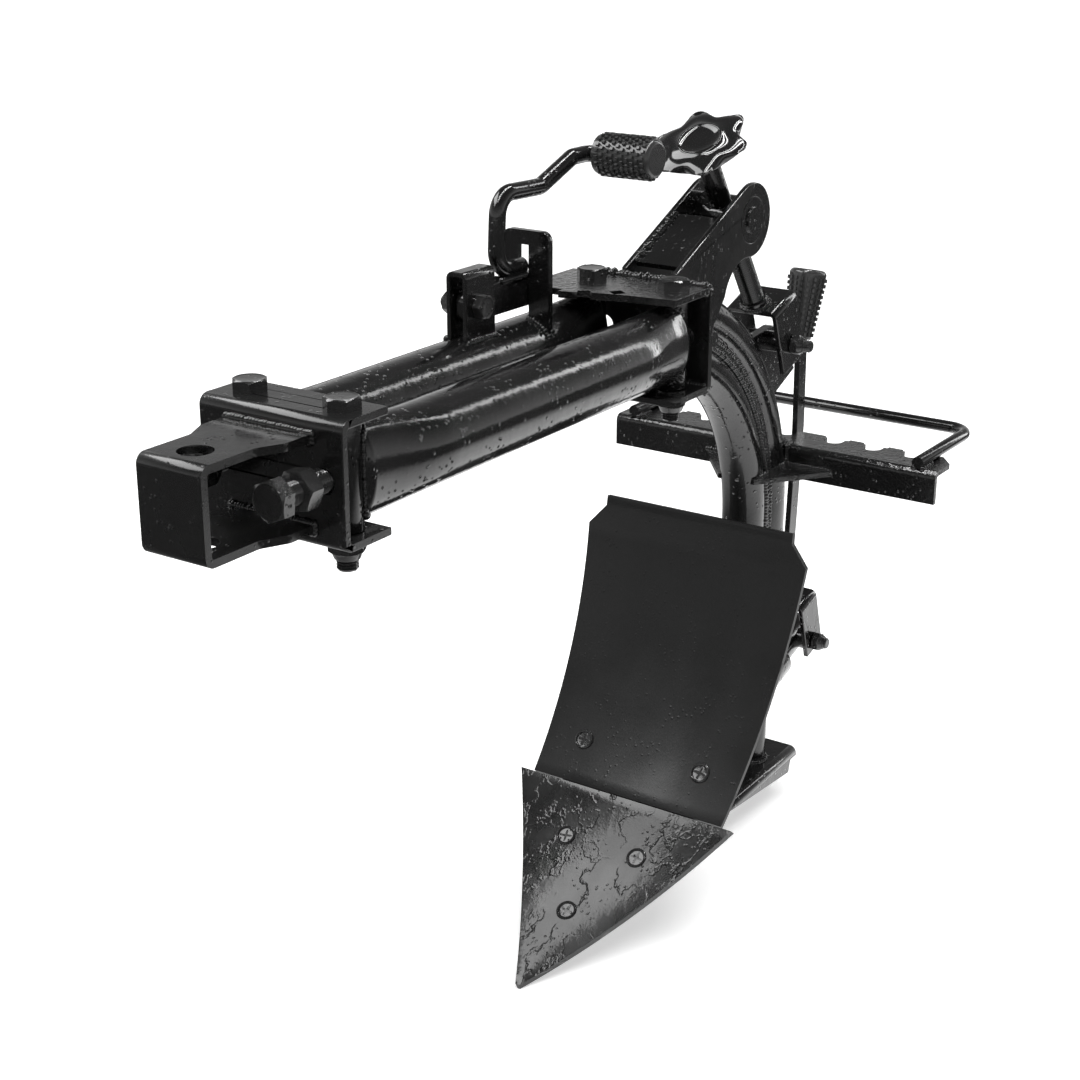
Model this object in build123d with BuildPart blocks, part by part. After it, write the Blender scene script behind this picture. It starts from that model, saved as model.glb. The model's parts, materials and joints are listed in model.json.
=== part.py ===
from build123d import *
from math import asin, atan2, cos, degrees, hypot, radians, sin, sqrt
import os

os.makedirs("parts", exist_ok=True)

# A one-body turning plough, in millimetres: +X is forward, +Y is the plough's left,
# +Z is up, and the origin is the middle of the hitch pin's bore. Side-view places are
# (x, z), and each sub-assembly is placed from the pivot that carries it.

# Driving sizes: stock, fits and fasteners ------------------------------------------------
PLATE = 6.0
THIN_PLATE = 5.0
TUBE_WALL = 3.0
BEND_RADIUS = 8.0
RUNNING_GAP = 0.05
END_PLAY = 0.5
WORKING_GAP = 5.0

M16_DIA = 16.0
M16_FLATS = 24.0
M16_HEAD = 8.8
M16_NUT = 15.0
M12_DIA = 12.0
M12_FLATS = 18.0
M12_HEAD = 8.0
M12_NUT = 11.0
M10_DIA = 10.0
M10_FLATS = 17.0
M10_NUT = 8.0
COUNTERSUNK_DIA = 20.0
COUNTERSUNK_DEPTH = 4.6
THREAD_SHOWING = 4.0
PIVOT_THREAD = 8.0

# Hitch
HITCH_PIN_DIA = 25.0
BRACKET_FRONT_X = 26.0
BRACKET_HALF_HEIGHT = 35.0
BRACKET_FRONT_HALF_WIDTH = 28.5
BRACKET_REAR_HALF_WIDTH = 38.0
BRACKET_SHOULDER_X = (-25.0, -45.0)
WEB_FRONT_X = -71.0
CHANNEL_HALF_HEIGHT = 46.5
CHANNEL_HALF_WIDTH = 64.0
CHANNEL_DEPTH = 50.0
STOP_BOLT_DIA = 18.0
STOP_BOLT_FLATS = 27.0
STOP_BOLT_HEAD = 11.5
STOP_BOLT_NUT = 14.0
STOP_BOLT_Y = 47.0
STOP_BOLT_Z = 3.0
STOP_BOLT_REACH = 42.5

# Links
FRONT_PIVOT_X = -99.2
LINK_LENGTH = 441.2
LINK_SPACING = 82.8
LINK_TUBE_DIA = 63.5
TUBE_END_HEIGHT = 70.0
TUBE_END_WIDTH = 42.0
TUBE_END_INSET = 6.0
TUBE_FLATTENING_LENGTH = 86.0
LINK_SLEEVE_DIA = 26.0
LINK_SLEEVE_LENGTH = 80.0

# Width lever
LEVER_PIVOT_AHEAD = 182.4
LEVER_PIVOT_Z = 57.0
LEVER_Y = -41.0
LEVER_ARM_THICK = 8.5
LEVER_ARM_BOTTOM_Z = 42.0
LEVER_ARM_TOP_Z = 69.0
LEVER_NOSE_GAP = 8.0
LEVER_BRACKET_HALF_WIDTH = 10.0
LEVER_BRACKET_TOP_Z = 86.0
LEVER_GUIDE_BACK = 79.0
LEVER_GUIDE_TOP_Z = 105.0
LEVER_ROD_DIA = 14.0
LEVER_ROD_BEND = 18.0
LEVER_GRIP_DIA = 33.0
LEVER_GRIP_LENGTH = 56.0
LEVER_GRIP_END_Y = 26.0
LEVER_GRIP_PLACE = (-177.0, 155.0)

# Yoke
YOKE_HALF_WIDTH = 65.0
YOKE_BACK_GAP = 8.6
YOKE_PLATE_AHEAD = 38.4
RIM_RADIUS = 62.0
RIM_ROOT_DEPTH = 8.0
RIM_SIDE_Y = 75.0
NOTCH_WIDTH = 11.0
CHEEK_FOOT_Z = 52.0
CHEEK_END_RADIUS = 34.0
CHEEK_LOBE_RADIUS = 24.0
CHEEK_HOLLOW = (-90.0, 16.0)
COVER_START = 15.0
COVER_LENGTH = 76.0
COVER_RECESS = 3.5

# Depth screw
STANDARD_PIVOT_BACK = 64.6
STANDARD_PIVOT_Z = -11.0
TRUNNION_OFFSET = (-99.5, 89.0)
TRUNNION_DIA = 42.0
TRUNNION_HUB_DIA = 24.0
SCREW_DIA = 20.0
SCREW_COLLAR_DIA = 26.0
KNOB_DIA = 86.0
KNOB_THICK = 24.0
KNOB_REACH = 247.5
KNOB_LOBES = 6
KNOB_SCALLOP_DIA = 40.0
KNOB_SCALLOP_REACH = 52.0
KNOB_FOOT_DIA = 32.0
KNOB_CAP_DIA = 40.0
CLEVIS_HALF_WIDTH = 28.0
CLEVIS_LEAN = 20.0
CLEVIS_HEIGHT = 49.0
CLEVIS_FOOT = 21.0
CLEVIS_FRONT = 24.0
CLEVIS_REAR = 20.0
SPACER_DIA = 20.0

# Standard
STANDARD_TUBE_DIA = 42.0
FRONT_ARC_RADIUS = 202.0
TUBE_SPACING = 1.5
PIVOT_ARC_LEAN = 12.1
PIVOT_SLEEVE_DIA = 36.0
EYE_STANDOFF = 49.0
EYE_ANGLE = 35.7
LUG_THICK = 10.0
LUG_CORNER = (74.0, 24.6)
LUG_EYE_RADIUS = 15.0

# Comb and guard
COMB_BACK_OF_TUBE = 5.0
COMB_TOP_Z = -165.5
COMB_DEPTH = 52.0
COMB_DROP = 32.5
COMB_HALF_LENGTH = 180.0
COMB_END_CUT = (18.0, 14.0)
COMB_NOTCH_WIDTH = 20.0
COMB_NOTCH_DEPTH = 20.0
GUARD_ROD_DIA = 12.0
GUARD_DEPTH = 133.5
GUARD_HALF_WIDTH = 160.0
GUARD_BEND = 22.0
GUSSET_Z = -189.0
GUSSET_HALF_WIDTH = 72.0

# Turning axis
BOSS_BACK_OF_TUBES = 10.4
BOSS_Z = -427.6
BOSS_LENGTH = 100.0
BOSS_DIA = 44.0
TURNING_SLOPE = 17.51
TIP_REACH = 450.0
SHAFT_DIA = 30.0
SHAFT_START = 160.0
SHAFT_END = 562.0
COLLAR_WIDTH = 13.5
LEVER_HINGE_REACH = 541.0
STAY_DIA = 28.0
STAY_BACK = 7.9
SOLE_AHEAD = 102.0
SOLE_BELOW = 92.4
SOLE_LENGTH = 155.0
SOLE_WIDTH = 60.0
SOLE_HEIGHT = 26.0
SOLE_PITCH = 3.3

# Share, moldboard and frog, rolled about one lateral axis
SHARE_RADIUS = 455.0
SHARE_THICK = 6.0
SHARE_TIP_ANGLE = 18.93
SHARE_TOP_ANGLE = 45.39
SHARE_HALF_WIDTH = 117.5
SHARE_TIP_HALF_WIDTH = 1.5
BOARD_STEP = 3.5
BOARD_THICK = 5.0
BOARD_START_ANGLE = 45.6
BOARD_END_ANGLE = 81.0
FROG_THICK = 7.5
FROG_START_ANGLE = 28.0
FROG_END_ANGLE = 57.0
FROG_WEB_THICK = 12.0

# Turning lever
TURN_CLEVIS_HEIGHT = 56.0
TURN_CLEVIS_FOOT = 10.0
TURN_CLEVIS_HALF_LENGTH = 17.0
TURN_BAR_WIDTH = 16.0
TURN_BAR_THICK = 6.0
TURN_GRIP_LENGTH = 70.0
TURN_GRIP_LEAN = -14.0
TURN_GRIP_FOOT_DIA = 25.0
TURN_GRIP_TOP_DIA = 38.0
TURN_GRIP_FOOT_Z = -70.0

# Tables --------------------------------------------------------------------------------
SIDES = (1, -1)
# name, side of the plough
LINKS = (("left", 1), ("right", -1))
# angle about the right rear pivot, extra reach of the rim there
RIM_NOTCHES = ((-26.0, 0.0), (0.0, 0.0), (26.0, 0.0), (52.4, 4.0))
# distance ahead of the rear pivots, distance from the middle, around the top plate
TOP_PLATE_CORNERS = ((38.4, 65.0), (44.4, 22.0), (53.4, -12.0), (38.4, -65.0))
# distance from the middle
COMB_NOTCHES = (-137.0, -94.5, -52.0, 0.0, 52.0, 94.5, 137.0)
# angle about the rolling axis, distance from the middle
SHARE_BOLTS = ((30.0, 0.0), (38.9, 39.0), (38.9, -39.0))
BOARD_BOLTS = ((51.0, 64.6), (51.0, -64.6))
# distance below the board's top edge, half-width there
BOARD_SIDES = ((0.0, 101.7), (11.0, 101.7), (31.0, 119.3), (266.0, 103.0), (290.0, 103.0))
# angle about the rolling axis, half-width there
FROG_OUTLINE = ((27.0, 20.0), (40.8, 70.0), (50.5, 78.0), (57.5, 66.0))
# distance ahead of the sole's rear end, depth of its flanges there
SOLE_FLANGES = ((0.0, 10.0), (13.0, 10.0), (18.0, 23.0), (155.0, 5.0))

# Sizes that follow ---------------------------------------------------------------------
LINK_Y = LINK_SPACING / 2
REAR_PIVOT_X = FRONT_PIVOT_X - LINK_LENGTH
CHANNEL_REAR_X = WEB_FRONT_X - CHANNEL_DEPTH
LEVER_PIVOT_X = REAR_PIVOT_X + LEVER_PIVOT_AHEAD
LEVER_PIVOT = (LEVER_PIVOT_X, LEVER_PIVOT_Z)
YOKE_TOP_Z = LINK_SLEEVE_LENGTH / 2 + END_PLAY + PLATE
YOKE_BACK_X = REAR_PIVOT_X - LINK_SLEEVE_DIA / 2 - YOKE_BACK_GAP
CHEEK_FOOT_X = YOKE_BACK_X - PLATE
CHEEK_GAP = STANDARD_TUBE_DIA + 4
CHEEK_OUTER_Y = CHEEK_GAP / 2 + THIN_PLATE
STANDARD_PIVOT = (REAR_PIVOT_X - STANDARD_PIVOT_BACK, STANDARD_PIVOT_Z)
TRUNNION = (STANDARD_PIVOT[0] + TRUNNION_OFFSET[0], STANDARD_PIVOT[1] + TRUNNION_OFFSET[1])
ARC_RADIUS_STEP = STANDARD_TUBE_DIA + TUBE_SPACING
REAR_ARC_RADIUS = FRONT_ARC_RADIUS + ARC_RADIUS_STEP
PIVOT_ARC_RADIUS = FRONT_ARC_RADIUS + ARC_RADIUS_STEP / 2
ARC_CENTRE = (
    STANDARD_PIVOT[0] + PIVOT_ARC_RADIUS * sin(radians(PIVOT_ARC_LEAN)),
    STANDARD_PIVOT[1] - PIVOT_ARC_RADIUS * cos(radians(PIVOT_ARC_LEAN)),
)
FRONT_TUBE_X = ARC_CENTRE[0] - FRONT_ARC_RADIUS
REAR_TUBE_X = ARC_CENTRE[0] - REAR_ARC_RADIUS
COMB_FRONT_X = REAR_TUBE_X - COMB_BACK_OF_TUBE
COMB_REAR_X = COMB_FRONT_X - COMB_DEPTH
GUARD_REAR_X = COMB_FRONT_X - GUARD_DEPTH
TURN_BACK = (-cos(radians(TURNING_SLOPE)), 0, sin(radians(TURNING_SLOPE)))
BOSS_MIDDLE = ((FRONT_TUBE_X + REAR_TUBE_X) / 2 - BOSS_BACK_OF_TUBES, BOSS_Z)
SHARE_TIP = (
    BOSS_MIDDLE[0] - TIP_REACH * TURN_BACK[0],
    BOSS_MIDDLE[1] - TIP_REACH * TURN_BACK[2],
)
HINGE = (
    SHARE_TIP[0] + LEVER_HINGE_REACH * TURN_BACK[0],
    SHARE_TIP[1] + LEVER_HINGE_REACH * TURN_BACK[2],
)
SHARE_BACK_RADIUS = SHARE_RADIUS + SHARE_THICK
BOARD_RADIUS = SHARE_RADIUS + BOARD_STEP
BOARD_BACK_RADIUS = BOARD_RADIUS + BOARD_THICK
FROG_BACK_RADIUS = BOARD_BACK_RADIUS + FROG_THICK
ROLL_CENTRE = (
    SHARE_TIP[0] + (SHARE_RADIUS + SHARE_THICK / 2) * sin(radians(SHARE_TIP_ANGLE)),
    SHARE_TIP[1] + (SHARE_RADIUS + SHARE_THICK / 2) * cos(radians(SHARE_TIP_ANGLE)),
)
TUBE_FOOT_Z = SHARE_TIP[1]


def upright(x, y, z=0.0):
    """A plane at a point, facing up, for vertical pins."""
    return Plane(origin=(x, y, z), x_dir=(1, 0, 0), z_dir=(0, 0, 1))


def lateral(x, z):
    """A plane in the plough's middle facing left, for lateral pins."""
    return Plane(origin=(x, 0, z), x_dir=(1, 0, 0), z_dir=(0, 1, 0))


def side(y):
    """A side-view plane at y, whose local axes are X and Z, facing right."""
    return Plane.XZ.offset(-y)


def front(x):
    """A front-view plane at x, whose local axes are Y and Z, facing forward."""
    return Plane.YZ.offset(x)


def bar(plane, diameter, start, end, mode=Mode.ADD):
    """A round bar along a plane's normal, from start to end."""
    with Locations(plane.offset(start)):
        align = (Align.CENTER, Align.CENTER, Align.MIN)
        Cylinder(diameter / 2, end - start, align=align, mode=mode)


def hexagon(plane, flats, start, end):
    """A hexagonal bar along a plane's normal, from start to end."""
    with BuildSketch(plane.offset(start)) as outline:
        RegularPolygon(flats / 2, 6, major_radius=False)
    extrude(outline.sketch, amount=end - start)


def bent_plate(plane, outer_line, thickness, amount, turn=Side.RIGHT):
    """A plate bent along a line of outer corners, extruded from the plane."""
    with BuildSketch(plane) as section:
        with BuildLine():
            FilletPolyline(*outer_line, radius=min(BEND_RADIUS, 1.4 * thickness))
            offset(amount=thickness, side=turn)
        make_face()
    extrude(section.sketch, amount=amount)


def polygon_plate(plane, corners, thickness, mode=Mode.ADD):
    """A flat plate with straight edges between its corners, extruded from the plane."""
    with BuildSketch(plane) as outline:
        with BuildLine():
            Polyline(*corners, close=True)
        make_face()
    extrude(outline.sketch, amount=thickness, mode=mode)


def standard_tube(radius, diameter, foot_z, mode=Mode.ADD):
    """One tube of the standard: an arc about the arc centre and a straight leg down."""
    foot = (ARC_CENTRE[0] - radius, 0, ARC_CENTRE[1])
    with BuildSketch(Plane(origin=foot)) as section:
        Circle(diameter / 2)
    centre = Axis((ARC_CENTRE[0], 0, ARC_CENTRE[1]), (0, 1, 0))
    revolve(section.sketch, axis=centre, revolution_arc=90 - PIVOT_ARC_LEAN, mode=mode)
    extrude(section.sketch, amount=foot_z - ARC_CENTRE[1], mode=mode)


def on_turning_axis(reach=0.0):
    """A plane across the turning axis, facing back, at a distance from the tip."""
    tip = Plane(origin=(SHARE_TIP[0], 0, SHARE_TIP[1]), x_dir=(0, 1, 0), z_dir=TURN_BACK)
    return tip.offset(reach)


def tangent_point(start, centre, radius, turn):
    """Where the line from start touches a circle, on the side that turn (+1, -1) says."""
    dx, dz = centre[0] - start[0], centre[1] - start[1]
    reach = hypot(dx, dz)
    angle = atan2(dz, dx) + turn * asin(radius / reach)
    length = sqrt(reach**2 - radius**2)
    return (start[0] + length * cos(angle), start[1] + length * sin(angle))


def leaning(point, lean, across, along):
    """A side-view point at distances across and along a direction leaning forward."""
    back = radians(lean)
    return (
        point[0] + along * sin(back) + across * cos(back),
        point[1] + along * cos(back) - across * sin(back),
    )


def on_standard_arc(radius, angle):
    """A side-view point about the standard's arc centre, by angle above the rear."""
    return (
        ARC_CENTRE[0] - radius * cos(radians(angle)),
        ARC_CENTRE[1] + radius * sin(radians(angle)),
    )


def on_roll(radius, angle):
    """A side-view point about the axis that the share and moldboard are rolled on."""
    return (
        ROLL_CENTRE[0] - radius * sin(radians(angle)),
        ROLL_CENTRE[1] - radius * cos(radians(angle)),
    )


def into_body(radius, angle, y):
    """A plane on the rolled face, looking straight into the plough body."""
    x, z = on_roll(radius, angle)
    inward = (-sin(radians(angle)), 0, -cos(radians(angle)))
    return Plane(origin=(x, y, z), x_dir=(0, 1, 0), z_dir=inward)


def rolled_plate(inner, outer, start, end, half_width):
    """A plate between two radii and two angles about the rolling axis."""
    middle = (start + end) / 2
    with BuildSketch(side(half_width)) as section:
        with BuildLine():
            ThreePointArc(on_roll(inner, start), on_roll(inner, middle), on_roll(inner, end))
            Line(on_roll(inner, end), on_roll(outer, end))
            ThreePointArc(on_roll(outer, end), on_roll(outer, middle), on_roll(outer, start))
            Line(on_roll(outer, start), on_roll(inner, start))
        make_face()
    extrude(section.sketch, amount=2 * half_width)


def countersunk_hole(plane):
    """A countersunk bolt hole from a face inwards."""
    with Locations(plane):
        align = (Align.CENTER, Align.CENTER, Align.MIN)
        rims = (COUNTERSUNK_DIA / 2, M10_DIA / 2, COUNTERSUNK_DEPTH)
        Cone(*rims, align=align, mode=Mode.SUBTRACT)
    bar(plane, M10_DIA, COUNTERSUNK_DEPTH - 1, 30, Mode.SUBTRACT)


def countersunk_bolt(plane, grip):
    """A countersunk bolt that fills its hole and carries a nut behind the grip."""
    with Locations(plane):
        align = (Align.CENTER, Align.CENTER, Align.MIN)
        Cone(COUNTERSUNK_DIA / 2, M10_DIA / 2, COUNTERSUNK_DEPTH, align=align)
    bar(plane, M10_DIA, COUNTERSUNK_DEPTH - 1, grip + M10_NUT + THREAD_SHOWING)
    hexagon(plane, M10_FLATS, grip, grip + M10_NUT)


SCREW_EYE = on_standard_arc(REAR_ARC_RADIUS + EYE_STANDOFF, EYE_ANGLE)
SCREW_LEAN = atan2(TRUNNION[0] - SCREW_EYE[0], TRUNNION[1] - SCREW_EYE[1])
SCREW_UP = (sin(SCREW_LEAN), 0, cos(SCREW_LEAN))


# Hitch ---------------------------------------------------------------------------------
with BuildPart() as drawbar_bracket:
    u_line = (
        (WEB_FRONT_X, BRACKET_HALF_HEIGHT),
        (BRACKET_FRONT_X, BRACKET_HALF_HEIGHT),
        (BRACKET_FRONT_X, -BRACKET_HALF_HEIGHT),
        (WEB_FRONT_X, -BRACKET_HALF_HEIGHT),
    )
    bent_plate(side(BRACKET_REAR_HALF_WIDTH), u_line, PLATE, 2 * BRACKET_REAR_HALF_WIDTH)
    narrow_x, wide_x = BRACKET_SHOULDER_X
    with BuildSketch() as plan:
        with BuildLine():
            Polyline(
                (BRACKET_FRONT_X + 1, -BRACKET_FRONT_HALF_WIDTH),
                (BRACKET_FRONT_X + 1, BRACKET_FRONT_HALF_WIDTH),
                (narrow_x, BRACKET_FRONT_HALF_WIDTH),
                (wide_x, BRACKET_REAR_HALF_WIDTH),
                (WEB_FRONT_X, BRACKET_REAR_HALF_WIDTH),
                (WEB_FRONT_X, -BRACKET_REAR_HALF_WIDTH),
                (wide_x, -BRACKET_REAR_HALF_WIDTH),
                (narrow_x, -BRACKET_FRONT_HALF_WIDTH),
                close=True,
            )
        make_face()
        shoulders = plan.vertices().filter_by(lambda v: wide_x <= round(v.X, 3) <= narrow_x)
        fillet(shoulders, BEND_RADIUS)
    extrude(amount=CHANNEL_HALF_HEIGHT, both=True, mode=Mode.INTERSECT)
    bore_reach = BRACKET_HALF_HEIGHT + PLATE
    bar(upright(0, 0), HITCH_PIN_DIA, -bore_reach, bore_reach, Mode.SUBTRACT)

stop_lines = [
    Plane(origin=(WEB_FRONT_X, hand * STOP_BOLT_Y, STOP_BOLT_Z), z_dir=(1, 0, 0))
    for hand in SIDES
]
with BuildPart() as hitch_channel:
    c_line = (
        (CHANNEL_REAR_X, CHANNEL_HALF_HEIGHT),
        (WEB_FRONT_X, CHANNEL_HALF_HEIGHT),
        (WEB_FRONT_X, -CHANNEL_HALF_HEIGHT),
        (CHANNEL_REAR_X, -CHANNEL_HALF_HEIGHT),
    )
    bent_plate(side(CHANNEL_HALF_WIDTH), c_line, PLATE, 2 * CHANNEL_HALF_WIDTH)
    for hand in SIDES:
        pin = upright(FRONT_PIVOT_X, hand * LINK_Y)
        bore = M16_DIA + 2 * RUNNING_GAP
        bar(pin, bore, -CHANNEL_HALF_HEIGHT, CHANNEL_HALF_HEIGHT, Mode.SUBTRACT)
    for stop_line in stop_lines:
        bar(stop_line, STOP_BOLT_DIA, -PLATE, 0, Mode.SUBTRACT)

with BuildPart() as stop_bolts:
    for stop_line in stop_lines:
        bar(stop_line, STOP_BOLT_DIA, -PLATE - 2, STOP_BOLT_REACH)
        head_end = STOP_BOLT_REACH + STOP_BOLT_HEAD
        hexagon(stop_line, STOP_BOLT_FLATS, STOP_BOLT_REACH, head_end)
        hexagon(stop_line, STOP_BOLT_FLATS, STOP_BOLT_NUT, 2 * STOP_BOLT_NUT)

with BuildPart() as front_pivot_bolts:
    for hand in SIDES:
        pin = upright(FRONT_PIVOT_X, hand * LINK_Y)
        nut_end = -CHANNEL_HALF_HEIGHT - M16_NUT
        bar(pin, M16_DIA, nut_end - PIVOT_THREAD, CHANNEL_HALF_HEIGHT)
        hexagon(pin, M16_FLATS, CHANNEL_HALF_HEIGHT, CHANNEL_HALF_HEIGHT + M16_HEAD)
        hexagon(pin, M16_FLATS, nut_end, -CHANNEL_HALF_HEIGHT)

# Links ---------------------------------------------------------------------------------
link_parts = {}
for hand_name, hand in LINKS:
    with BuildPart() as sleeves:
        for pivot_x in (FRONT_PIVOT_X, REAR_PIVOT_X):
            half = LINK_SLEEVE_LENGTH / 2
            bar(upright(pivot_x, hand * LINK_Y), LINK_SLEEVE_DIA, -half, half)
            bore = M16_DIA + 2 * RUNNING_GAP
            bar(upright(pivot_x, hand * LINK_Y), bore, -half, half, Mode.SUBTRACT)
    link_parts[hand_name + "_beam_sleeves"] = sleeves.part

    with BuildPart() as tube:
        for wall, mode in ((0.0, Mode.ADD), (TUBE_WALL, Mode.SUBTRACT)):
            # the section grows from a flattened end to round and back
            for pivot_x, inward in ((FRONT_PIVOT_X, -1), (REAR_PIVOT_X, 1)):
                end_x = pivot_x + inward * TUBE_END_INSET
                round_x = end_x + inward * TUBE_FLATTENING_LENGTH
                axis = Plane(origin=(0, hand * LINK_Y, 0), x_dir=(0, 0, 1), z_dir=(1, 0, 0))
                with BuildSketch(axis.offset(end_x)) as flat_end:
                    Ellipse(TUBE_END_HEIGHT / 2 - wall, TUBE_END_WIDTH / 2 - wall)
                with BuildSketch(axis.offset(round_x)) as round_end:
                    Circle(LINK_TUBE_DIA / 2 - wall)
                loft([flat_end.sketch.face(), round_end.sketch.face()], mode=mode)
            run = LINK_LENGTH - 2 * (TUBE_END_INSET + TUBE_FLATTENING_LENGTH)
            bar(axis.offset(round_x), LINK_TUBE_DIA - 2 * wall, 0, run, mode)
        for pivot_x in (FRONT_PIVOT_X, REAR_PIVOT_X):
            pin = upright(pivot_x, hand * LINK_Y)
            bar(pin, LINK_SLEEVE_DIA, -TUBE_END_HEIGHT, TUBE_END_HEIGHT, Mode.SUBTRACT)
    link_parts[hand_name + "_beam_tube"] = tube.part

right_tube = Plane(
    origin=(LEVER_PIVOT_X, -LINK_Y, 0), x_dir=(0, 1, 0), z_dir=(-1, 0, 0)
)
lever_hinge = lateral(*LEVER_PIVOT)
bracket_outer = LEVER_BRACKET_HALF_WIDTH
with BuildPart() as lever_bracket:
    u_line = (
        (LEVER_Y - bracket_outer, 15),
        (LEVER_Y - bracket_outer, LEVER_BRACKET_TOP_Z),
        (LEVER_Y + bracket_outer, LEVER_BRACKET_TOP_Z),
        (LEVER_Y + bracket_outer, 15),
    )
    bent_plate(front(LEVER_PIVOT_X - 22), u_line, 4, 39)
    bar(right_tube, LINK_TUBE_DIA, -60, 60, Mode.SUBTRACT)
    bore = M12_DIA + 2 * RUNNING_GAP
    bar(lever_hinge, bore, LEVER_Y - 20, LEVER_Y + 20, Mode.SUBTRACT)

with BuildPart() as lever_guide:
    inner_left = LEVER_Y + LEVER_ARM_THICK / 2 + 1.2
    inner_right = LEVER_Y - LEVER_ARM_THICK / 2 - 1.2
    outer_left = inner_left + 20
    outer_right = inner_right - 15
    guide_low_z = LEVER_ARM_TOP_Z + PLATE
    slot_top_z = LEVER_GUIDE_TOP_Z - 12
    with BuildSketch(front(LEVER_PIVOT_X - LEVER_GUIDE_BACK - PLATE / 2)):
        with BuildLine():
            Polyline(
                (outer_right, guide_low_z),
                (outer_right, LEVER_GUIDE_TOP_Z),
                (outer_left, LEVER_GUIDE_TOP_Z),
                (outer_left, 5),
                (inner_left, 5),
                (inner_left, slot_top_z),
                (inner_right, slot_top_z),
                (inner_right, guide_low_z),
                close=True,
            )
        make_face()
        fillet(vertices().group_by(Axis.Y)[-1], BEND_RADIUS)
    extrude(amount=PLATE)
    bar(right_tube, LINK_TUBE_DIA, LEVER_GUIDE_BACK - 20, LEVER_GUIDE_BACK + 20, Mode.SUBTRACT)

with BuildPart() as lever_pivot_bolt:
    left_face = LEVER_Y + bracket_outer
    right_face = LEVER_Y - bracket_outer
    bar(lever_hinge, M12_DIA, right_face - M12_NUT - THREAD_SHOWING, left_face)
    hexagon(lever_hinge, M12_FLATS, left_face, left_face + M12_HEAD)
    hexagon(lever_hinge, M12_FLATS, right_face - M12_NUT, right_face)

# Width lever ---------------------------------------------------------------------------
lever_nose_x = REAR_PIVOT_X + RIM_RADIUS + LEVER_NOSE_GAP
with BuildPart() as lever_arm:
    with BuildSketch(side(LEVER_Y + LEVER_ARM_THICK / 2)):
        with BuildLine():
            Polyline(
                (LEVER_PIVOT_X + 12, LEVER_ARM_BOTTOM_Z + 1),
                (LEVER_PIVOT_X + 12, LEVER_ARM_TOP_Z),
                (lever_nose_x, LEVER_ARM_TOP_Z),
                (lever_nose_x, LEVER_ARM_BOTTOM_Z),
                (lever_nose_x + 31, LEVER_ARM_BOTTOM_Z),
                close=True,
            )
        make_face()
        fillet(vertices().group_by(Axis.X)[-1], 9)
    extrude(amount=LEVER_ARM_THICK)
    bore = M12_DIA + 2 * RUNNING_GAP
    bar(lever_hinge, bore, LEVER_Y - 20, LEVER_Y + 20, Mode.SUBTRACT)

rod_start = (LEVER_PIVOT_X - 74, LEVER_Y, LEVER_ARM_TOP_Z + LEVER_ROD_DIA / 2)
grip_x = LEVER_PIVOT_X + LEVER_GRIP_PLACE[0]
grip_z = LEVER_GRIP_PLACE[1]
with BuildPart() as lever_rod:
    with BuildLine() as rod_path:
        FilletPolyline(
            rod_start,
            (LEVER_PIVOT_X - 37, LEVER_Y, rod_start[2]),
            (LEVER_PIVOT_X - 41, LEVER_Y, grip_z - 16),
            (grip_x + 76, LEVER_Y, grip_z - 18),
            (grip_x + 28, LEVER_Y, grip_z),
            (grip_x, LEVER_Y, grip_z),
            (grip_x, LEVER_GRIP_END_Y - 5, grip_z),
            radius=[LEVER_ROD_BEND, LEVER_ROD_BEND, LEVER_ROD_BEND, 12, 12],
        )
    with BuildSketch(Plane(origin=rod_start, z_dir=(1, 0, 0))):
        Circle(LEVER_ROD_DIA / 2)
    sweep(path=rod_path.wire())

with BuildPart() as lever_grip:
    grip_line = lateral(grip_x, grip_z)
    grip_start = LEVER_GRIP_END_Y - LEVER_GRIP_LENGTH
    bar(grip_line, LEVER_GRIP_DIA, grip_start, LEVER_GRIP_END_Y)
    fillet(edges().group_by(Axis.Y)[-1], 4)
    bar(grip_line, LEVER_ROD_DIA, grip_start, LEVER_GRIP_END_Y - 5, Mode.SUBTRACT)

# Yoke ----------------------------------------------------------------------------------
with BuildPart() as yoke_back_plate:
    with BuildSketch(front(CHEEK_FOOT_X)):
        with Locations((0, (YOKE_TOP_Z - CHANNEL_HALF_HEIGHT) / 2)):
            Rectangle(2 * YOKE_HALF_WIDTH, YOKE_TOP_Z + CHANNEL_HALF_HEIGHT)
        fillet(vertices(), 4)
        with Locations((LINK_Y, 0), (-LINK_Y, 0)):
            Circle(9, mode=Mode.SUBTRACT)
    extrude(amount=PLATE)

with BuildPart() as notched_top_plate:
    with BuildSketch(Plane.XY.offset(YOKE_TOP_Z - PLATE)):
        with Locations((REAR_PIVOT_X, -LINK_Y)):
            Circle(RIM_RADIUS)
        with BuildLine():
            corners = [(REAR_PIVOT_X + ahead, y) for ahead, y in TOP_PLATE_CORNERS]
            back = [(YOKE_BACK_X, -YOKE_HALF_WIDTH), (YOKE_BACK_X, YOKE_HALF_WIDTH)]
            Polyline(*corners, *back, close=True)
        make_face()
        with Locations((YOKE_BACK_X + RIM_RADIUS, 0)):
            Rectangle(2 * RIM_RADIUS, 2 * RIM_SIDE_Y, mode=Mode.INTERSECT)
        for angle, extra in RIM_NOTCHES:
            reach = RIM_RADIUS + extra - RIM_ROOT_DEPTH / 2 + 2
            notch_x = REAR_PIVOT_X + reach * cos(radians(angle))
            notch_y = -LINK_Y + reach * sin(radians(angle))
            with Locations(Location((notch_x, notch_y), angle)):
                Rectangle(RIM_ROOT_DEPTH + 4, NOTCH_WIDTH, mode=Mode.SUBTRACT)
        with Locations((REAR_PIVOT_X, LINK_Y), (REAR_PIVOT_X, -LINK_Y)):
            Circle(M16_DIA / 2 + RUNNING_GAP, mode=Mode.SUBTRACT)
    extrude(amount=PLATE)

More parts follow.
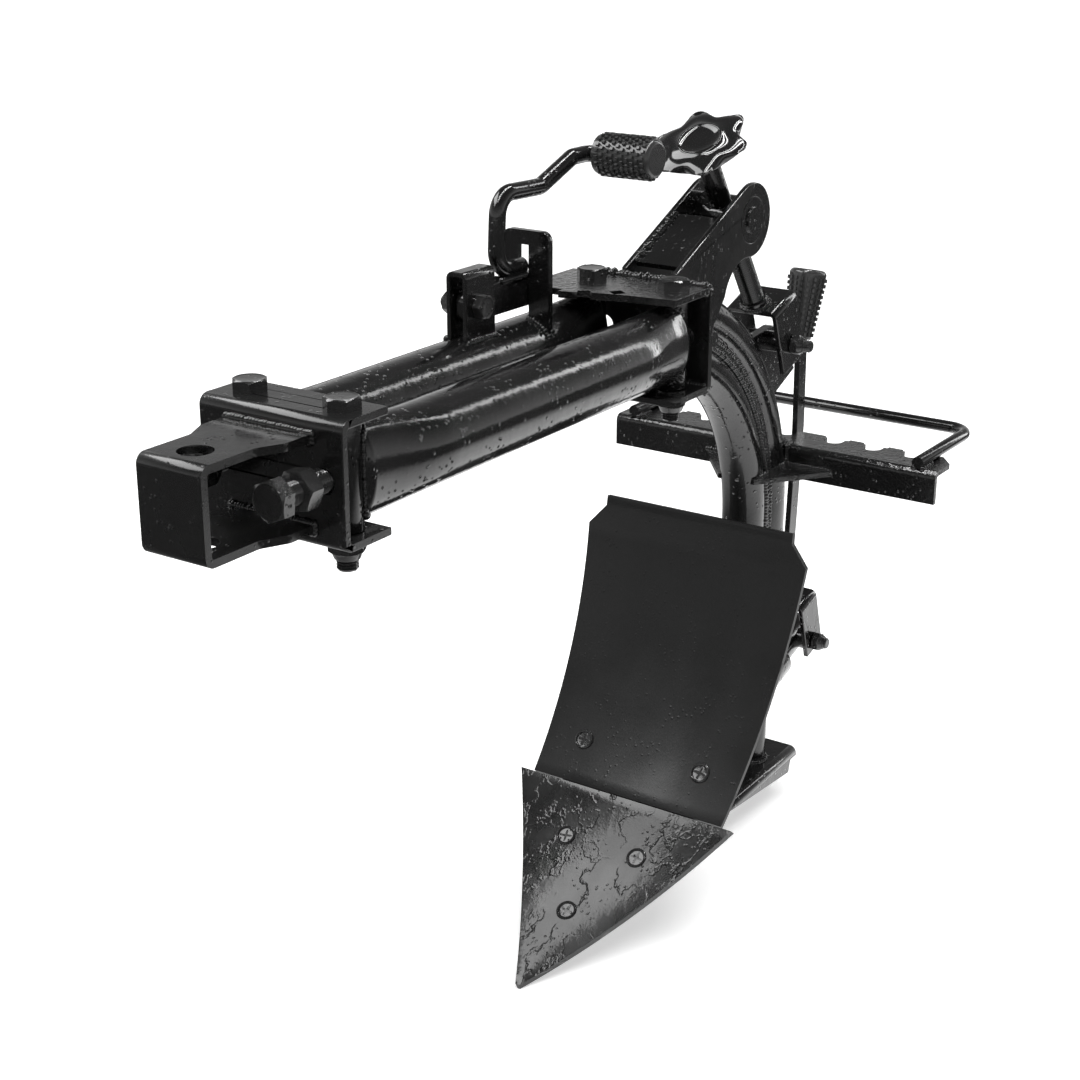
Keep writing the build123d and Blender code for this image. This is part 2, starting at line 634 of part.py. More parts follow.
with BuildPart() as yoke_bottom_plate:
    bottom_front_x = REAR_PIVOT_X + YOKE_PLATE_AHEAD
    with BuildSketch(Plane.XY.offset(-CHANNEL_HALF_HEIGHT)):
        with Locations(((YOKE_BACK_X + bottom_front_x) / 2, 0)):
            Rectangle(bottom_front_x - YOKE_BACK_X, 2 * YOKE_HALF_WIDTH)
        chamfer(vertices().group_by(Axis.X)[-1], 14)
        with Locations((REAR_PIVOT_X, LINK_Y), (REAR_PIVOT_X, -LINK_Y)):
            Circle(M16_DIA / 2 + RUNNING_GAP, mode=Mode.SUBTRACT)
    extrude(amount=PLATE)

with BuildPart() as rear_pivot_bolts:
    for hand in SIDES:
        pin = upright(REAR_PIVOT_X, hand * LINK_Y)
        nut_end = -CHANNEL_HALF_HEIGHT - M16_NUT
        bar(pin, M16_DIA, nut_end - PIVOT_THREAD, YOKE_TOP_Z)
        hexagon(pin, M16_FLATS, YOKE_TOP_Z, YOKE_TOP_Z + M16_HEAD)
        hexagon(pin, M16_FLATS, nut_end, -CHANNEL_HALF_HEIGHT)

cheek_foot = (CHEEK_FOOT_X, CHEEK_FOOT_Z)
cheek_top = tangent_point(cheek_foot, TRUNNION, CHEEK_END_RADIUS, -1)
hollow = (STANDARD_PIVOT[0] + CHEEK_HOLLOW[0], STANDARD_PIVOT[1] + CHEEK_HOLLOW[1])
hollow_radius = hypot(TRUNNION[0] - hollow[0], TRUNNION[1] - hollow[1]) - CHEEK_END_RADIUS
hollow_end = (
    hollow[0] + hollow_radius * cos(radians(16)),
    hollow[1] + hollow_radius * sin(radians(16)),
)
lobe_bottom_z = STANDARD_PIVOT[1] - CHEEK_LOBE_RADIUS
cheeks = {}
for cheek_name, hand in (("cheek_left", 1), ("cheek_right", -1)):
    with BuildPart() as cheek:
        with BuildSketch(side(CHEEK_OUTER_Y if hand > 0 else -CHEEK_GAP / 2)):
            with BuildLine():
                Polyline(
                    cheek_foot,
                    cheek_top,
                    TRUNNION,
                    hollow,
                    hollow_end,
                    tangent_point(hollow_end, STANDARD_PIVOT, CHEEK_LOBE_RADIUS, -1),
                    STANDARD_PIVOT,
                    (STANDARD_PIVOT[0], lobe_bottom_z),
                    (CHEEK_FOOT_X, lobe_bottom_z),
                    close=True,
                )
            make_face()
            with Locations(TRUNNION):
                Circle(CHEEK_END_RADIUS)
            with Locations(STANDARD_PIVOT):
                Circle(CHEEK_LOBE_RADIUS)
            with Locations(hollow):
                Circle(hollow_radius, mode=Mode.SUBTRACT)
            with Locations(TRUNNION):
                Circle(TRUNNION_DIA / 2 + RUNNING_GAP, mode=Mode.SUBTRACT)
            with Locations(STANDARD_PIVOT):
                Circle(M16_DIA / 2 + RUNNING_GAP, mode=Mode.SUBTRACT)
        extrude(amount=THIN_PLATE)
    cheeks[cheek_name] = cheek.part

edge_slope = degrees(atan2(cheek_top[1] - cheek_foot[1], cheek_foot[0] - cheek_top[0]))
with BuildPart() as cheek_cover:
    cover_corners = [
        leaning(cheek_foot, edge_slope, -along, -COVER_RECESS - depth)
        for along, depth in (
            (COVER_START, 0),
            (COVER_START + COVER_LENGTH, 0),
            (COVER_START + COVER_LENGTH, THIN_PLATE),
            (COVER_START, THIN_PLATE),
        )
    ]
    polygon_plate(side(CHEEK_GAP / 2), cover_corners, CHEEK_GAP)

pivot_line = lateral(*STANDARD_PIVOT)
with BuildPart() as standard_pivot_bolt:
    nut_end = CHEEK_OUTER_Y + M16_NUT
    bar(pivot_line, M16_DIA, -CHEEK_OUTER_Y, nut_end + THREAD_SHOWING)
    hexagon(pivot_line, M16_FLATS, -CHEEK_OUTER_Y - M16_HEAD, -CHEEK_OUTER_Y)
    hexagon(pivot_line, M16_FLATS, CHEEK_OUTER_Y, nut_end)

# Depth screw ---------------------------------------------------------------------------
screw_line = Plane(
    origin=(SCREW_EYE[0], 0, SCREW_EYE[1]), x_dir=(0, 1, 0), z_dir=SCREW_UP
)
trunnion_reach = hypot(TRUNNION[0] - SCREW_EYE[0], TRUNNION[1] - SCREW_EYE[1])
with BuildPart() as trunnion_nut:
    barrel = lateral(*TRUNNION)
    bar(barrel, TRUNNION_DIA, -CHEEK_OUTER_Y, CHEEK_OUTER_Y)
    bar(barrel, TRUNNION_HUB_DIA, -CHEEK_OUTER_Y - 2, CHEEK_OUTER_Y + 2)
    bore = SCREW_DIA + 2 * RUNNING_GAP
    across = (trunnion_reach - TRUNNION_DIA, trunnion_reach + TRUNNION_DIA)
    bar(screw_line, bore, *across, Mode.SUBTRACT)

knob_foot = screw_line.offset(KNOB_REACH - KNOB_THICK / 2)
with BuildPart() as star_knob:
    with BuildSketch(knob_foot) as knob_outline:
        Circle(KNOB_DIA / 2)
        with PolarLocations(KNOB_SCALLOP_REACH, KNOB_LOBES, start_angle=180 / KNOB_LOBES):
            Circle(KNOB_SCALLOP_DIA / 2, mode=Mode.SUBTRACT)
        fillet(knob_outline.vertices(), 4)
    extrude(amount=KNOB_THICK)
    fillet(faces().sort_by(Axis(knob_foot.origin, SCREW_UP))[-1].edges(), 3)
    with Locations(knob_foot):
        align = (Align.CENTER, Align.CENTER, Align.MIN)
        cone_dias = (KNOB_FOOT_DIA / 2, KNOB_FOOT_DIA / 2 + 1.4 * KNOB_THICK)
        Cone(*cone_dias, KNOB_THICK, align=align, mode=Mode.INTERSECT)
    cap = knob_foot.offset(KNOB_THICK)
    bar(cap, KNOB_CAP_DIA, -3, 0, Mode.SUBTRACT)
    bar(cap, KNOB_CAP_DIA - 6, -3, -1)

clevis_top = leaning(SCREW_EYE, CLEVIS_LEAN, 0, CLEVIS_HEIGHT)
clevis_back = (-cos(radians(CLEVIS_LEAN)), 0, sin(radians(CLEVIS_LEAN)))
collar_start = CLEVIS_HEIGHT / cos(SCREW_LEAN - radians(CLEVIS_LEAN))
with BuildPart() as screw_clevis:
    section = Plane(origin=screw_line.origin, x_dir=(0, -1, 0), z_dir=clevis_back)
    u_line = (
        (-CLEVIS_HALF_WIDTH, -CLEVIS_FOOT),
        (-CLEVIS_HALF_WIDTH, CLEVIS_HEIGHT),
        (CLEVIS_HALF_WIDTH, CLEVIS_HEIGHT),
        (CLEVIS_HALF_WIDTH, -CLEVIS_FOOT),
    )
    clevis_length = CLEVIS_FRONT + CLEVIS_REAR
    bent_plate(section.offset(-CLEVIS_FRONT), u_line, THIN_PLATE, clevis_length)
    bar(lateral(*SCREW_EYE), 15, -40, 40, Mode.SUBTRACT)

with BuildPart() as depth_screw:
    bar(screw_line, SCREW_DIA, collar_start - THIN_PLATE, KNOB_REACH - KNOB_THICK / 2)
    bar(screw_line, SCREW_COLLAR_DIA, collar_start - THIN_PLATE, collar_start + 9)
    under = Plane(origin=(clevis_top[0], 0, clevis_top[1]), x_dir=(0, 1, 0), z_dir=clevis_back)
    with BuildSketch(under.offset(-60)) as below_top:
        with Locations((0, -50 if under.y_dir.Z > 0 else 50)):
            Rectangle(100, 100)
    extrude(below_top.sketch, amount=120, mode=Mode.SUBTRACT)

# Standard ------------------------------------------------------------------------------
with BuildPart() as standard_pivot_sleeve:
    half = CHEEK_GAP / 2 - END_PLAY
    bar(pivot_line, PIVOT_SLEEVE_DIA, -half, half)
    bar(pivot_line, M16_DIA + 2 * RUNNING_GAP, -half, half, Mode.SUBTRACT)

standard_tubes = {}
for tube_name, radius in (
    ("standard_front_tube", FRONT_ARC_RADIUS),
    ("standard_rear_tube", REAR_ARC_RADIUS),
):
    with BuildPart() as tube:
        standard_tube(radius, STANDARD_TUBE_DIA, TUBE_FOOT_Z)
        standard_tube(radius, STANDARD_TUBE_DIA - 2 * TUBE_WALL, TUBE_FOOT_Z, Mode.SUBTRACT)
        bar(pivot_line, PIVOT_SLEEVE_DIA, -CHEEK_GAP, CHEEK_GAP, Mode.SUBTRACT)
        below_axis = [
            leaning(SHARE_TIP, TURNING_SLOPE, -reach, drop)
            for reach, drop in (
                (TIP_REACH - 150, 0),
                (TIP_REACH + 150, 0),
                (TIP_REACH + 150, -200),
                (TIP_REACH - 150, -200),
            )
        ]
        polygon_plate(side(CHEEK_GAP), below_axis, 2 * CHEEK_GAP, Mode.SUBTRACT)
        bar(on_turning_axis(TIP_REACH), BOSS_DIA, -150, 150, Mode.SUBTRACT)
    standard_tubes[tube_name] = tube.part

lug_corner = on_standard_arc(REAR_ARC_RADIUS + LUG_CORNER[0], LUG_CORNER[1])
with BuildPart() as screw_lug:
    with BuildSketch(side(LUG_THICK / 2)):
        with BuildLine():
            Polyline(
                on_standard_arc(REAR_ARC_RADIUS, 47),
                tangent_point(
                    on_standard_arc(REAR_ARC_RADIUS, 47), SCREW_EYE, LUG_EYE_RADIUS, -1
                ),
                SCREW_EYE,
                tangent_point(lug_corner, SCREW_EYE, LUG_EYE_RADIUS, 1),
                lug_corner,
                on_standard_arc(REAR_ARC_RADIUS, 25),
                close=True,
            )
        make_face()
        with Locations(SCREW_EYE):
            Circle(LUG_EYE_RADIUS)
            Circle(M12_DIA / 2, mode=Mode.SUBTRACT)
        with Locations(ARC_CENTRE):
            Circle(REAR_ARC_RADIUS, mode=Mode.SUBTRACT)
    extrude(amount=LUG_THICK)
    standard_tube(REAR_ARC_RADIUS, STANDARD_TUBE_DIA, COMB_TOP_Z, Mode.SUBTRACT)

with BuildPart() as clevis_bolt:
    eye = lateral(*SCREW_EYE)
    head_face = CLEVIS_HALF_WIDTH + 1
    bar(eye, M12_DIA, -head_face, head_face + M12_NUT + PIVOT_THREAD)
    hexagon(eye, M12_FLATS, -head_face - M12_HEAD, -head_face)
    hexagon(eye, M12_FLATS, head_face, head_face + M12_NUT)
    for hand in SIDES:
        spacer = Plane(origin=eye.origin, z_dir=(0, hand, 0))
        bar(spacer, SPACER_DIA, LUG_THICK / 2, CLEVIS_HALF_WIDTH - THIN_PLATE - 1)

with BuildPart() as comb_bar:
    angle_line = (
        (COMB_FRONT_X, COMB_TOP_Z - COMB_DROP),
        (COMB_FRONT_X, COMB_TOP_Z),
        (COMB_REAR_X, COMB_TOP_Z),
    )
    bar_length = 2 * COMB_HALF_LENGTH
    bent_plate(side(COMB_HALF_LENGTH), angle_line, THIN_PLATE, bar_length, Side.LEFT)
    with BuildSketch(Plane.XY.offset(COMB_TOP_Z)):
        root_x = COMB_REAR_X + COMB_NOTCH_DEPTH - COMB_NOTCH_WIDTH / 2
        for notch_y in COMB_NOTCHES:
            with Locations((root_x, notch_y)):
                Circle(COMB_NOTCH_WIDTH / 2)
            with Locations(((root_x + COMB_REAR_X) / 2 - 2, notch_y)):
                Rectangle(root_x - COMB_REAR_X + 4, COMB_NOTCH_WIDTH)
            with Locations((COMB_REAR_X, notch_y)):
                Rectangle(8, COMB_NOTCH_WIDTH + 7)
        cut_depth, cut_width = COMB_END_CUT
        for hand in SIDES:
            end_y = hand * COMB_HALF_LENGTH
            with BuildLine():
                Polyline(
                    (COMB_REAR_X, end_y),
                    (COMB_REAR_X + cut_depth, end_y),
                    (COMB_REAR_X, end_y - hand * cut_width),
                    close=True,
                )
            make_face()
    extrude(amount=-THIN_PLATE - 2, mode=Mode.SUBTRACT)
    standard_tube(REAR_ARC_RADIUS, STANDARD_TUBE_DIA, COMB_TOP_Z - 80, Mode.SUBTRACT)

with BuildPart() as guard_rod:
    rod_z = COMB_TOP_Z + GUARD_ROD_DIA / 2
    rod_foot = (COMB_FRONT_X - 2, GUARD_HALF_WIDTH, rod_z)
    with BuildLine() as guard_path:
        FilletPolyline(
            rod_foot,
            (GUARD_REAR_X, GUARD_HALF_WIDTH, rod_z),
            (GUARD_REAR_X, -GUARD_HALF_WIDTH, rod_z),
            (rod_foot[0], -GUARD_HALF_WIDTH, rod_z),
            radius=GUARD_BEND,
        )
    with BuildSketch(Plane(origin=rod_foot, z_dir=(-1, 0, 0))):
        Circle(GUARD_ROD_DIA / 2)
    sweep(path=guard_path.wire())

with BuildPart() as comb_gussets:
    gusset_front_x = FRONT_TUBE_X + STANDARD_TUBE_DIA / 2 - 3
    with BuildSketch(Plane.XY.offset(GUSSET_Z)):
        for hand in SIDES:
            with BuildLine():
                Polyline(
                    (gusset_front_x, hand * 12),
                    (gusset_front_x, hand * 20),
                    (COMB_FRONT_X, hand * GUSSET_HALF_WIDTH),
                    (COMB_FRONT_X, hand * 12),
                    close=True,
                )
            make_face()
    extrude(amount=THIN_PLATE)
    for radius in (FRONT_ARC_RADIUS, REAR_ARC_RADIUS):
        standard_tube(radius, STANDARD_TUBE_DIA, GUSSET_Z - 40, Mode.SUBTRACT)

boss_start = TIP_REACH - BOSS_LENGTH / 2
boss_end = TIP_REACH + BOSS_LENGTH / 2
with BuildPart() as turning_boss:
    bar(on_turning_axis(), BOSS_DIA, boss_start, boss_end)
    bore = SHAFT_DIA + 2 * RUNNING_GAP
    bar(on_turning_axis(), bore, boss_start, boss_end, Mode.SUBTRACT)

sole_back = (-cos(radians(SOLE_PITCH)), 0, sin(radians(SOLE_PITCH)))
sole_front = (BOSS_MIDDLE[0] + SOLE_AHEAD, 0, BOSS_MIDDLE[1] - SOLE_BELOW)
sole_line = Plane(origin=sole_front, x_dir=(0, -1, 0), z_dir=sole_back)
with BuildPart() as sole:
    u_line = (
        (-SOLE_WIDTH / 2, -SOLE_HEIGHT),
        (-SOLE_WIDTH / 2, 0),
        (SOLE_WIDTH / 2, 0),
        (SOLE_WIDTH / 2, -SOLE_HEIGHT),
    )
    bent_plate(sole_line, u_line, PLATE, SOLE_LENGTH)
    rear_end = sole_line.offset(SOLE_LENGTH).origin + Vector(0, SOLE_WIDTH, 0)
    profile = Plane(origin=rear_end, x_dir=-Vector(sole_back), z_dir=(0, -1, 0))
    flange_edge = [(ahead, -depth) for ahead, depth in SOLE_FLANGES]
    below = [(flange_edge[-1][0], -2 * SOLE_HEIGHT), (flange_edge[0][0], -2 * SOLE_HEIGHT)]
    polygon_plate(profile, flange_edge + below, 2 * SOLE_WIDTH, Mode.SUBTRACT)

with BuildPart() as sole_stay:
    stay = upright(BOSS_MIDDLE[0] - STAY_BACK, 0, BOSS_MIDDLE[1])
    bar(stay, STAY_DIA, -SOLE_BELOW - 20, 0)
    bar(on_turning_axis(TIP_REACH), BOSS_DIA, -150, 150, Mode.SUBTRACT)
    with BuildSketch(sole_line) as under_sole:
        with Locations((0, -50)):
            Rectangle(100, 100)
    extrude(under_sole.sketch, amount=SOLE_LENGTH, mode=Mode.SUBTRACT)

# Plough body ---------------------------------------------------------------------------
hinge_line = lateral(*HINGE)
with BuildPart() as turning_shaft:
    bar(on_turning_axis(), SHAFT_DIA, SHAFT_START, SHAFT_END)
    collar_end = boss_start - END_PLAY
    bar(on_turning_axis(), BOSS_DIA, collar_end - COLLAR_WIDTH, collar_end)
    bar(hinge_line, M12_DIA, -SHAFT_DIA, SHAFT_DIA, Mode.SUBTRACT)

with BuildPart() as lever_hinge_bolt:
    head_face = CLEVIS_HALF_WIDTH + 1
    for hand in SIDES:
        spacer = Plane(origin=(HINGE[0], 0, HINGE[1]), z_dir=(0, hand, 0))
        bar(spacer, SPACER_DIA + 2, 0, CLEVIS_HALF_WIDTH - THIN_PLATE - 1)
    bar(on_turning_axis(), SHAFT_DIA, SHAFT_START, SHAFT_END, Mode.SUBTRACT)
    bar(hinge_line, M12_DIA, -head_face, head_face + M12_NUT + THREAD_SHOWING)
    hexagon(hinge_line, M12_FLATS, -head_face - M12_HEAD, -head_face)
    hexagon(hinge_line, M12_FLATS, head_face, head_face + M12_NUT)

with BuildPart() as share:
    rolled_plate(
        SHARE_RADIUS, SHARE_BACK_RADIUS, SHARE_TIP_ANGLE, SHARE_TOP_ANGLE, SHARE_HALF_WIDTH
    )
    tip_x, tip_z = on_roll(SHARE_BACK_RADIUS, SHARE_TIP_ANGLE)
    top_x, top_z = on_roll(SHARE_BACK_RADIUS, SHARE_TOP_ANGLE)
    chord_length = hypot(top_x - tip_x, top_z - tip_z)
    chord = ((top_x - tip_x) / chord_length, 0, (top_z - tip_z) / chord_length)
    blank = Plane(origin=(tip_x, 0, tip_z), x_dir=(0, 1, 0), z_dir=(chord[2], 0, -chord[0]))
    top = chord_length + SHARE_THICK
    up = top if blank.y_dir.dot(Vector(chord)) > 0 else -top
    corner = SHARE_HALF_WIDTH * top / chord_length
    with BuildSketch(blank.offset(-40)) as outline:
        with BuildLine():
            Polyline(
                (-SHARE_TIP_HALF_WIDTH, 0),
                (SHARE_TIP_HALF_WIDTH, 0),
                (corner, up),
                (-corner, up),
                close=True,
            )
        make_face()
    extrude(outline.sketch, amount=80, mode=Mode.INTERSECT)
    for angle, y in SHARE_BOLTS:
        countersunk_hole(into_body(SHARE_RADIUS, angle, y))

with BuildPart() as moldboard:
    rolled_plate(BOARD_RADIUS, BOARD_BACK_RADIUS, BOARD_START_ANGLE, BOARD_END_ANGLE, 125)
    board_back_x, board_top_z = on_roll(BOARD_BACK_RADIUS, BOARD_END_ANGLE)
    with BuildSketch(front(board_back_x - 30)):
        with BuildLine():
            right = [(width, board_top_z + 2 - drop) for drop, width in BOARD_SIDES]
            Polyline(*right, *[(-y, z) for y, z in reversed(right)], close=True)
        make_face()
    extrude(amount=260, mode=Mode.INTERSECT)
    for angle, y in BOARD_BOLTS:
        countersunk_hole(into_body(BOARD_RADIUS, angle, y))

FROG_STEP_ANGLE = (SHARE_TOP_ANGLE + BOARD_START_ANGLE) / 2
with BuildPart() as frog_plate:
    rolled_plate(SHARE_BACK_RADIUS, FROG_BACK_RADIUS, FROG_START_ANGLE, FROG_STEP_ANGLE, 90)
    rolled_plate(BOARD_BACK_RADIUS, FROG_BACK_RADIUS, FROG_STEP_ANGLE, FROG_END_ANGLE, 90)
    with BuildSketch(Plane.XY.offset(SHARE_TIP[1])):
        with BuildLine():
            left = [(on_roll(FROG_BACK_RADIUS, a)[0], width) for a, width in FROG_OUTLINE]
            Polyline(*left, *[(x, -y) for x, y in reversed(left)], close=True)
        make_face()
    extrude(amount=300, mode=Mode.INTERSECT)
    for angle, y in SHARE_BOLTS + BOARD_BOLTS:
        bar(into_body(SHARE_RADIUS, angle, y), M10_DIA, 0, 60, Mode.SUBTRACT)

with BuildPart() as share_bolts:
    for angle, y in SHARE_BOLTS:
        countersunk_bolt(into_body(SHARE_RADIUS, angle, y), FROG_BACK_RADIUS - SHARE_RADIUS)

with BuildPart() as moldboard_bolts:
    for angle, y in BOARD_BOLTS:
        countersunk_bolt(into_body(BOARD_RADIUS, angle, y), FROG_BACK_RADIUS - BOARD_RADIUS)

with BuildPart() as frog_web:
    web_front, web_back = FROG_START_ANGLE + 6, FROG_END_ANGLE - 2
    web_middle = (web_front + web_back) / 2
    with BuildSketch(side(FROG_WEB_THICK / 2)):
        with BuildLine():
            ThreePointArc(
                on_roll(FROG_BACK_RADIUS, web_front),
                on_roll(FROG_BACK_RADIUS, web_middle),
                on_roll(FROG_BACK_RADIUS, web_back),
            )
            Polyline(
                on_roll(FROG_BACK_RADIUS, web_back),
                leaning(SHARE_TIP, TURNING_SLOPE, -SHAFT_START - 170, 0),
                leaning(SHARE_TIP, TURNING_SLOPE, -SHAFT_START - 8, 0),
                on_roll(FROG_BACK_RADIUS, web_front),
            )
        make_face()
    extrude(amount=FROG_WEB_THICK)
    bar(on_turning_axis(), SHAFT_DIA, 0, SHAFT_END, Mode.SUBTRACT)
    for angle, y in SHARE_BOLTS:
        if y == 0:
            bar(into_body(SHARE_RADIUS, angle, y), 24, 0, 60, Mode.SUBTRACT)

# Turning lever -------------------------------------------------------------------------
with BuildPart() as turning_lever_clevis:
    section = Plane(
        origin=(HINGE[0], 0, HINGE[1]), x_dir=(0, -1, 0), z_dir=TURN_BACK
    ).offset(-TURN_CLEVIS_HALF_LENGTH)
    u_line = (
        (-CLEVIS_HALF_WIDTH, -TURN_CLEVIS_FOOT),
        (-CLEVIS_HALF_WIDTH, TURN_CLEVIS_HEIGHT),
        (CLEVIS_HALF_WIDTH, TURN_CLEVIS_HEIGHT),
        (CLEVIS_HALF_WIDTH, -TURN_CLEVIS_FOOT),
    )
    bent_plate(section, u_line, THIN_PLATE, 2 * TURN_CLEVIS_HALF_LENGTH)
    bore = M12_DIA + 2 * RUNNING_GAP
    bar(hinge_line, bore, -2 * CLEVIS_HALF_WIDTH, 2 * CLEVIS_HALF_WIDTH, Mode.SUBTRACT)

# the bar runs up just behind the comb's teeth, with the rest of it either side of there
bar_front_x = COMB_REAR_X - WORKING_GAP
grip_x = bar_front_x + 1
bar_outline = (
    leaning(HINGE, TURNING_SLOPE, TURN_BAR_WIDTH / 2, TURN_CLEVIS_HEIGHT),
    (bar_front_x, COMB_TOP_Z),
    (bar_front_x + 2, TURN_GRIP_FOOT_Z - 10),
    (bar_front_x + 2, TURN_GRIP_FOOT_Z + 40),
    (bar_front_x - 8, TURN_GRIP_FOOT_Z + 40),
    (bar_front_x - TURN_BAR_WIDTH + 2, TURN_GRIP_FOOT_Z - 10),
    (bar_front_x - TURN_BAR_WIDTH, COMB_TOP_Z),
    leaning(HINGE, TURNING_SLOPE, -TURN_BAR_WIDTH / 2, TURN_CLEVIS_HEIGHT),
)
with BuildPart() as turning_lever_bar:
    polygon_plate(side(TURN_BAR_THICK / 2), bar_outline, TURN_BAR_THICK)

turn_grip_line = Plane(
    origin=(grip_x, 0, TURN_GRIP_FOOT_Z),
    x_dir=(0, 1, 0),
    z_dir=(sin(radians(TURN_GRIP_LEAN)), 0, cos(radians(TURN_GRIP_LEAN))),
)
with BuildPart() as turning_lever_grip:
    with Locations(turn_grip_line):
        align = (Align.CENTER, Align.CENTER, Align.MIN)
        ends = (TURN_GRIP_FOOT_DIA / 2, TURN_GRIP_TOP_DIA / 2)
        Cone(*ends, TURN_GRIP_LENGTH, align=align)
    fillet(edges().group_by(Axis.Z)[-1], 5)
    polygon_plate(side(TURN_BAR_THICK / 2), bar_outline, TURN_BAR_THICK, Mode.SUBTRACT)

# Export --------------------------------------------------------------------------------
pieces = {
    "drawbar_bracket": drawbar_bracket.part,
    "hitch_channel": hitch_channel.part,
    "stop_bolts": stop_bolts.part,
    "front_pivot_bolts": front_pivot_bolts.part,
    **link_parts,
    "lever_bracket": lever_bracket.part,
    "lever_guide": lever_guide.part,
    "lever_pivot_bolt": lever_pivot_bolt.part,
    "lever_arm": lever_arm.part,
    "lever_rod": lever_rod.part,
    "lever_grip": lever_grip.part,
    "yoke_back_plate": yoke_back_plate.part,
    "notched_top_plate": notched_top_plate.part,
    "yoke_bottom_plate": yoke_bottom_plate.part,
    "rear_pivot_bolts": rear_pivot_bolts.part,
    **cheeks,
    "cheek_cover": cheek_cover.part,
    "standard_pivot_bolt": standard_pivot_bolt.part,
    "trunnion_nut": trunnion_nut.part,
    "depth_screw": depth_screw.part,
    "star_knob": star_knob.part,
    "screw_clevis": screw_clevis.part,
    "standard_pivot_sleeve": standard_pivot_sleeve.part,
    **standard_tubes,
    "screw_lug": screw_lug.part,
    "clevis_bolt": clevis_bolt.part,
    "comb_bar": comb_bar.part,
    "guard_rod": guard_rod.part,
    "comb_gussets": comb_gussets.part,
    "turning_boss": turning_boss.part,
    "sole_stay": sole_stay.part,
    "sole": sole.part,
    "turning_shaft": turning_shaft.part,
    "lever_hinge_bolt": lever_hinge_bolt.part,
    "share": share.part,
    "moldboard": moldboard.part,
    "frog_plate": frog_plate.part,
    "frog_web": frog_web.part,
    "share_bolts": share_bolts.part,
    "moldboard_bolts": moldboard_bolts.part,
    "turning_lever_clevis": turning_lever_clevis.part,
    "turning_lever_bar": turning_lever_bar.part,
    "turning_lever_grip": turning_lever_grip.part,
}
for name, part in pieces.items():
    part.label = name
    export_step(part, f"parts/{name}.step")
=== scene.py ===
"""Finishes, welds, threads, grips and studio for a one-share turning plough."""

from __future__ import annotations

import json
import logging
import math
from dataclasses import dataclass
from enum import Enum

import bmesh
import bpy
from mathutils import Matrix, Vector

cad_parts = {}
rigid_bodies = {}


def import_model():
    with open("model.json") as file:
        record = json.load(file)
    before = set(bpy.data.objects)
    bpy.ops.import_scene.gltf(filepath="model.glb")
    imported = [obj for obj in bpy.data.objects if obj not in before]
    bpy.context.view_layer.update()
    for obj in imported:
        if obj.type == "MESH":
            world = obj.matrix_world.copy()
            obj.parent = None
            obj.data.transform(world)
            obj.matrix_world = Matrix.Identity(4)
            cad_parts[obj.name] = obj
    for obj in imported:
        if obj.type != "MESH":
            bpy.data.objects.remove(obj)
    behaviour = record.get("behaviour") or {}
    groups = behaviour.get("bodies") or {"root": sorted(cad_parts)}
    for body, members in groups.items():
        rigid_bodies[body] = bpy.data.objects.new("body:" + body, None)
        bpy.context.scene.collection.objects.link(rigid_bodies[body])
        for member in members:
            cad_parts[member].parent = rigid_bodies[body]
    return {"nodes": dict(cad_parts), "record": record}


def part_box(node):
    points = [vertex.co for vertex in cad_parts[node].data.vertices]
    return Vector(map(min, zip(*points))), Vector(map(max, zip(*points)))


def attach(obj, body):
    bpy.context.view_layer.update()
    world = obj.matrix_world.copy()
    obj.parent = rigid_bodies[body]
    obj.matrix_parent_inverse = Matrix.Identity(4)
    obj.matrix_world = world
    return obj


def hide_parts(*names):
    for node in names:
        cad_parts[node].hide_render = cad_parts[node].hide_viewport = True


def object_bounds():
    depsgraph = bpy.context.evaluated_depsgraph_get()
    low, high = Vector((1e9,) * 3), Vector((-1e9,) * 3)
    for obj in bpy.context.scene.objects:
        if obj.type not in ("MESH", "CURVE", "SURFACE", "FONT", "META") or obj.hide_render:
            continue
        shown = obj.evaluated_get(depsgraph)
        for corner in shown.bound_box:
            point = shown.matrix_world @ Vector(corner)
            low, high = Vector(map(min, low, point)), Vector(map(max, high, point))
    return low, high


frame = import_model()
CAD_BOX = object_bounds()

logging.basicConfig(level=logging.INFO, format="%(message)s")
log = logging.getLogger("plough")
MM = 0.001
SEED = 7
UP = Vector((0.0, 0.0, 1.0))
LEFT = Vector((0.0, 1.0, 0.0))
FORWARD = Vector((1.0, 0.0, 0.0))


class Slot(Enum):
    """The record's material slots."""

    PAINT = "black_paint"
    BOLTS = "black_bolts"
    RUBBER = "black_rubber"
    PLASTIC = "black_plastic"


class Coat(Enum):
    """The ways in which the enamel lies on the steel."""

    GLOSSY = "glossy"
    ROUGH = "rough"
    SATIN = "satin"
    CREASED = "creased"
    PLAIN = "plain"


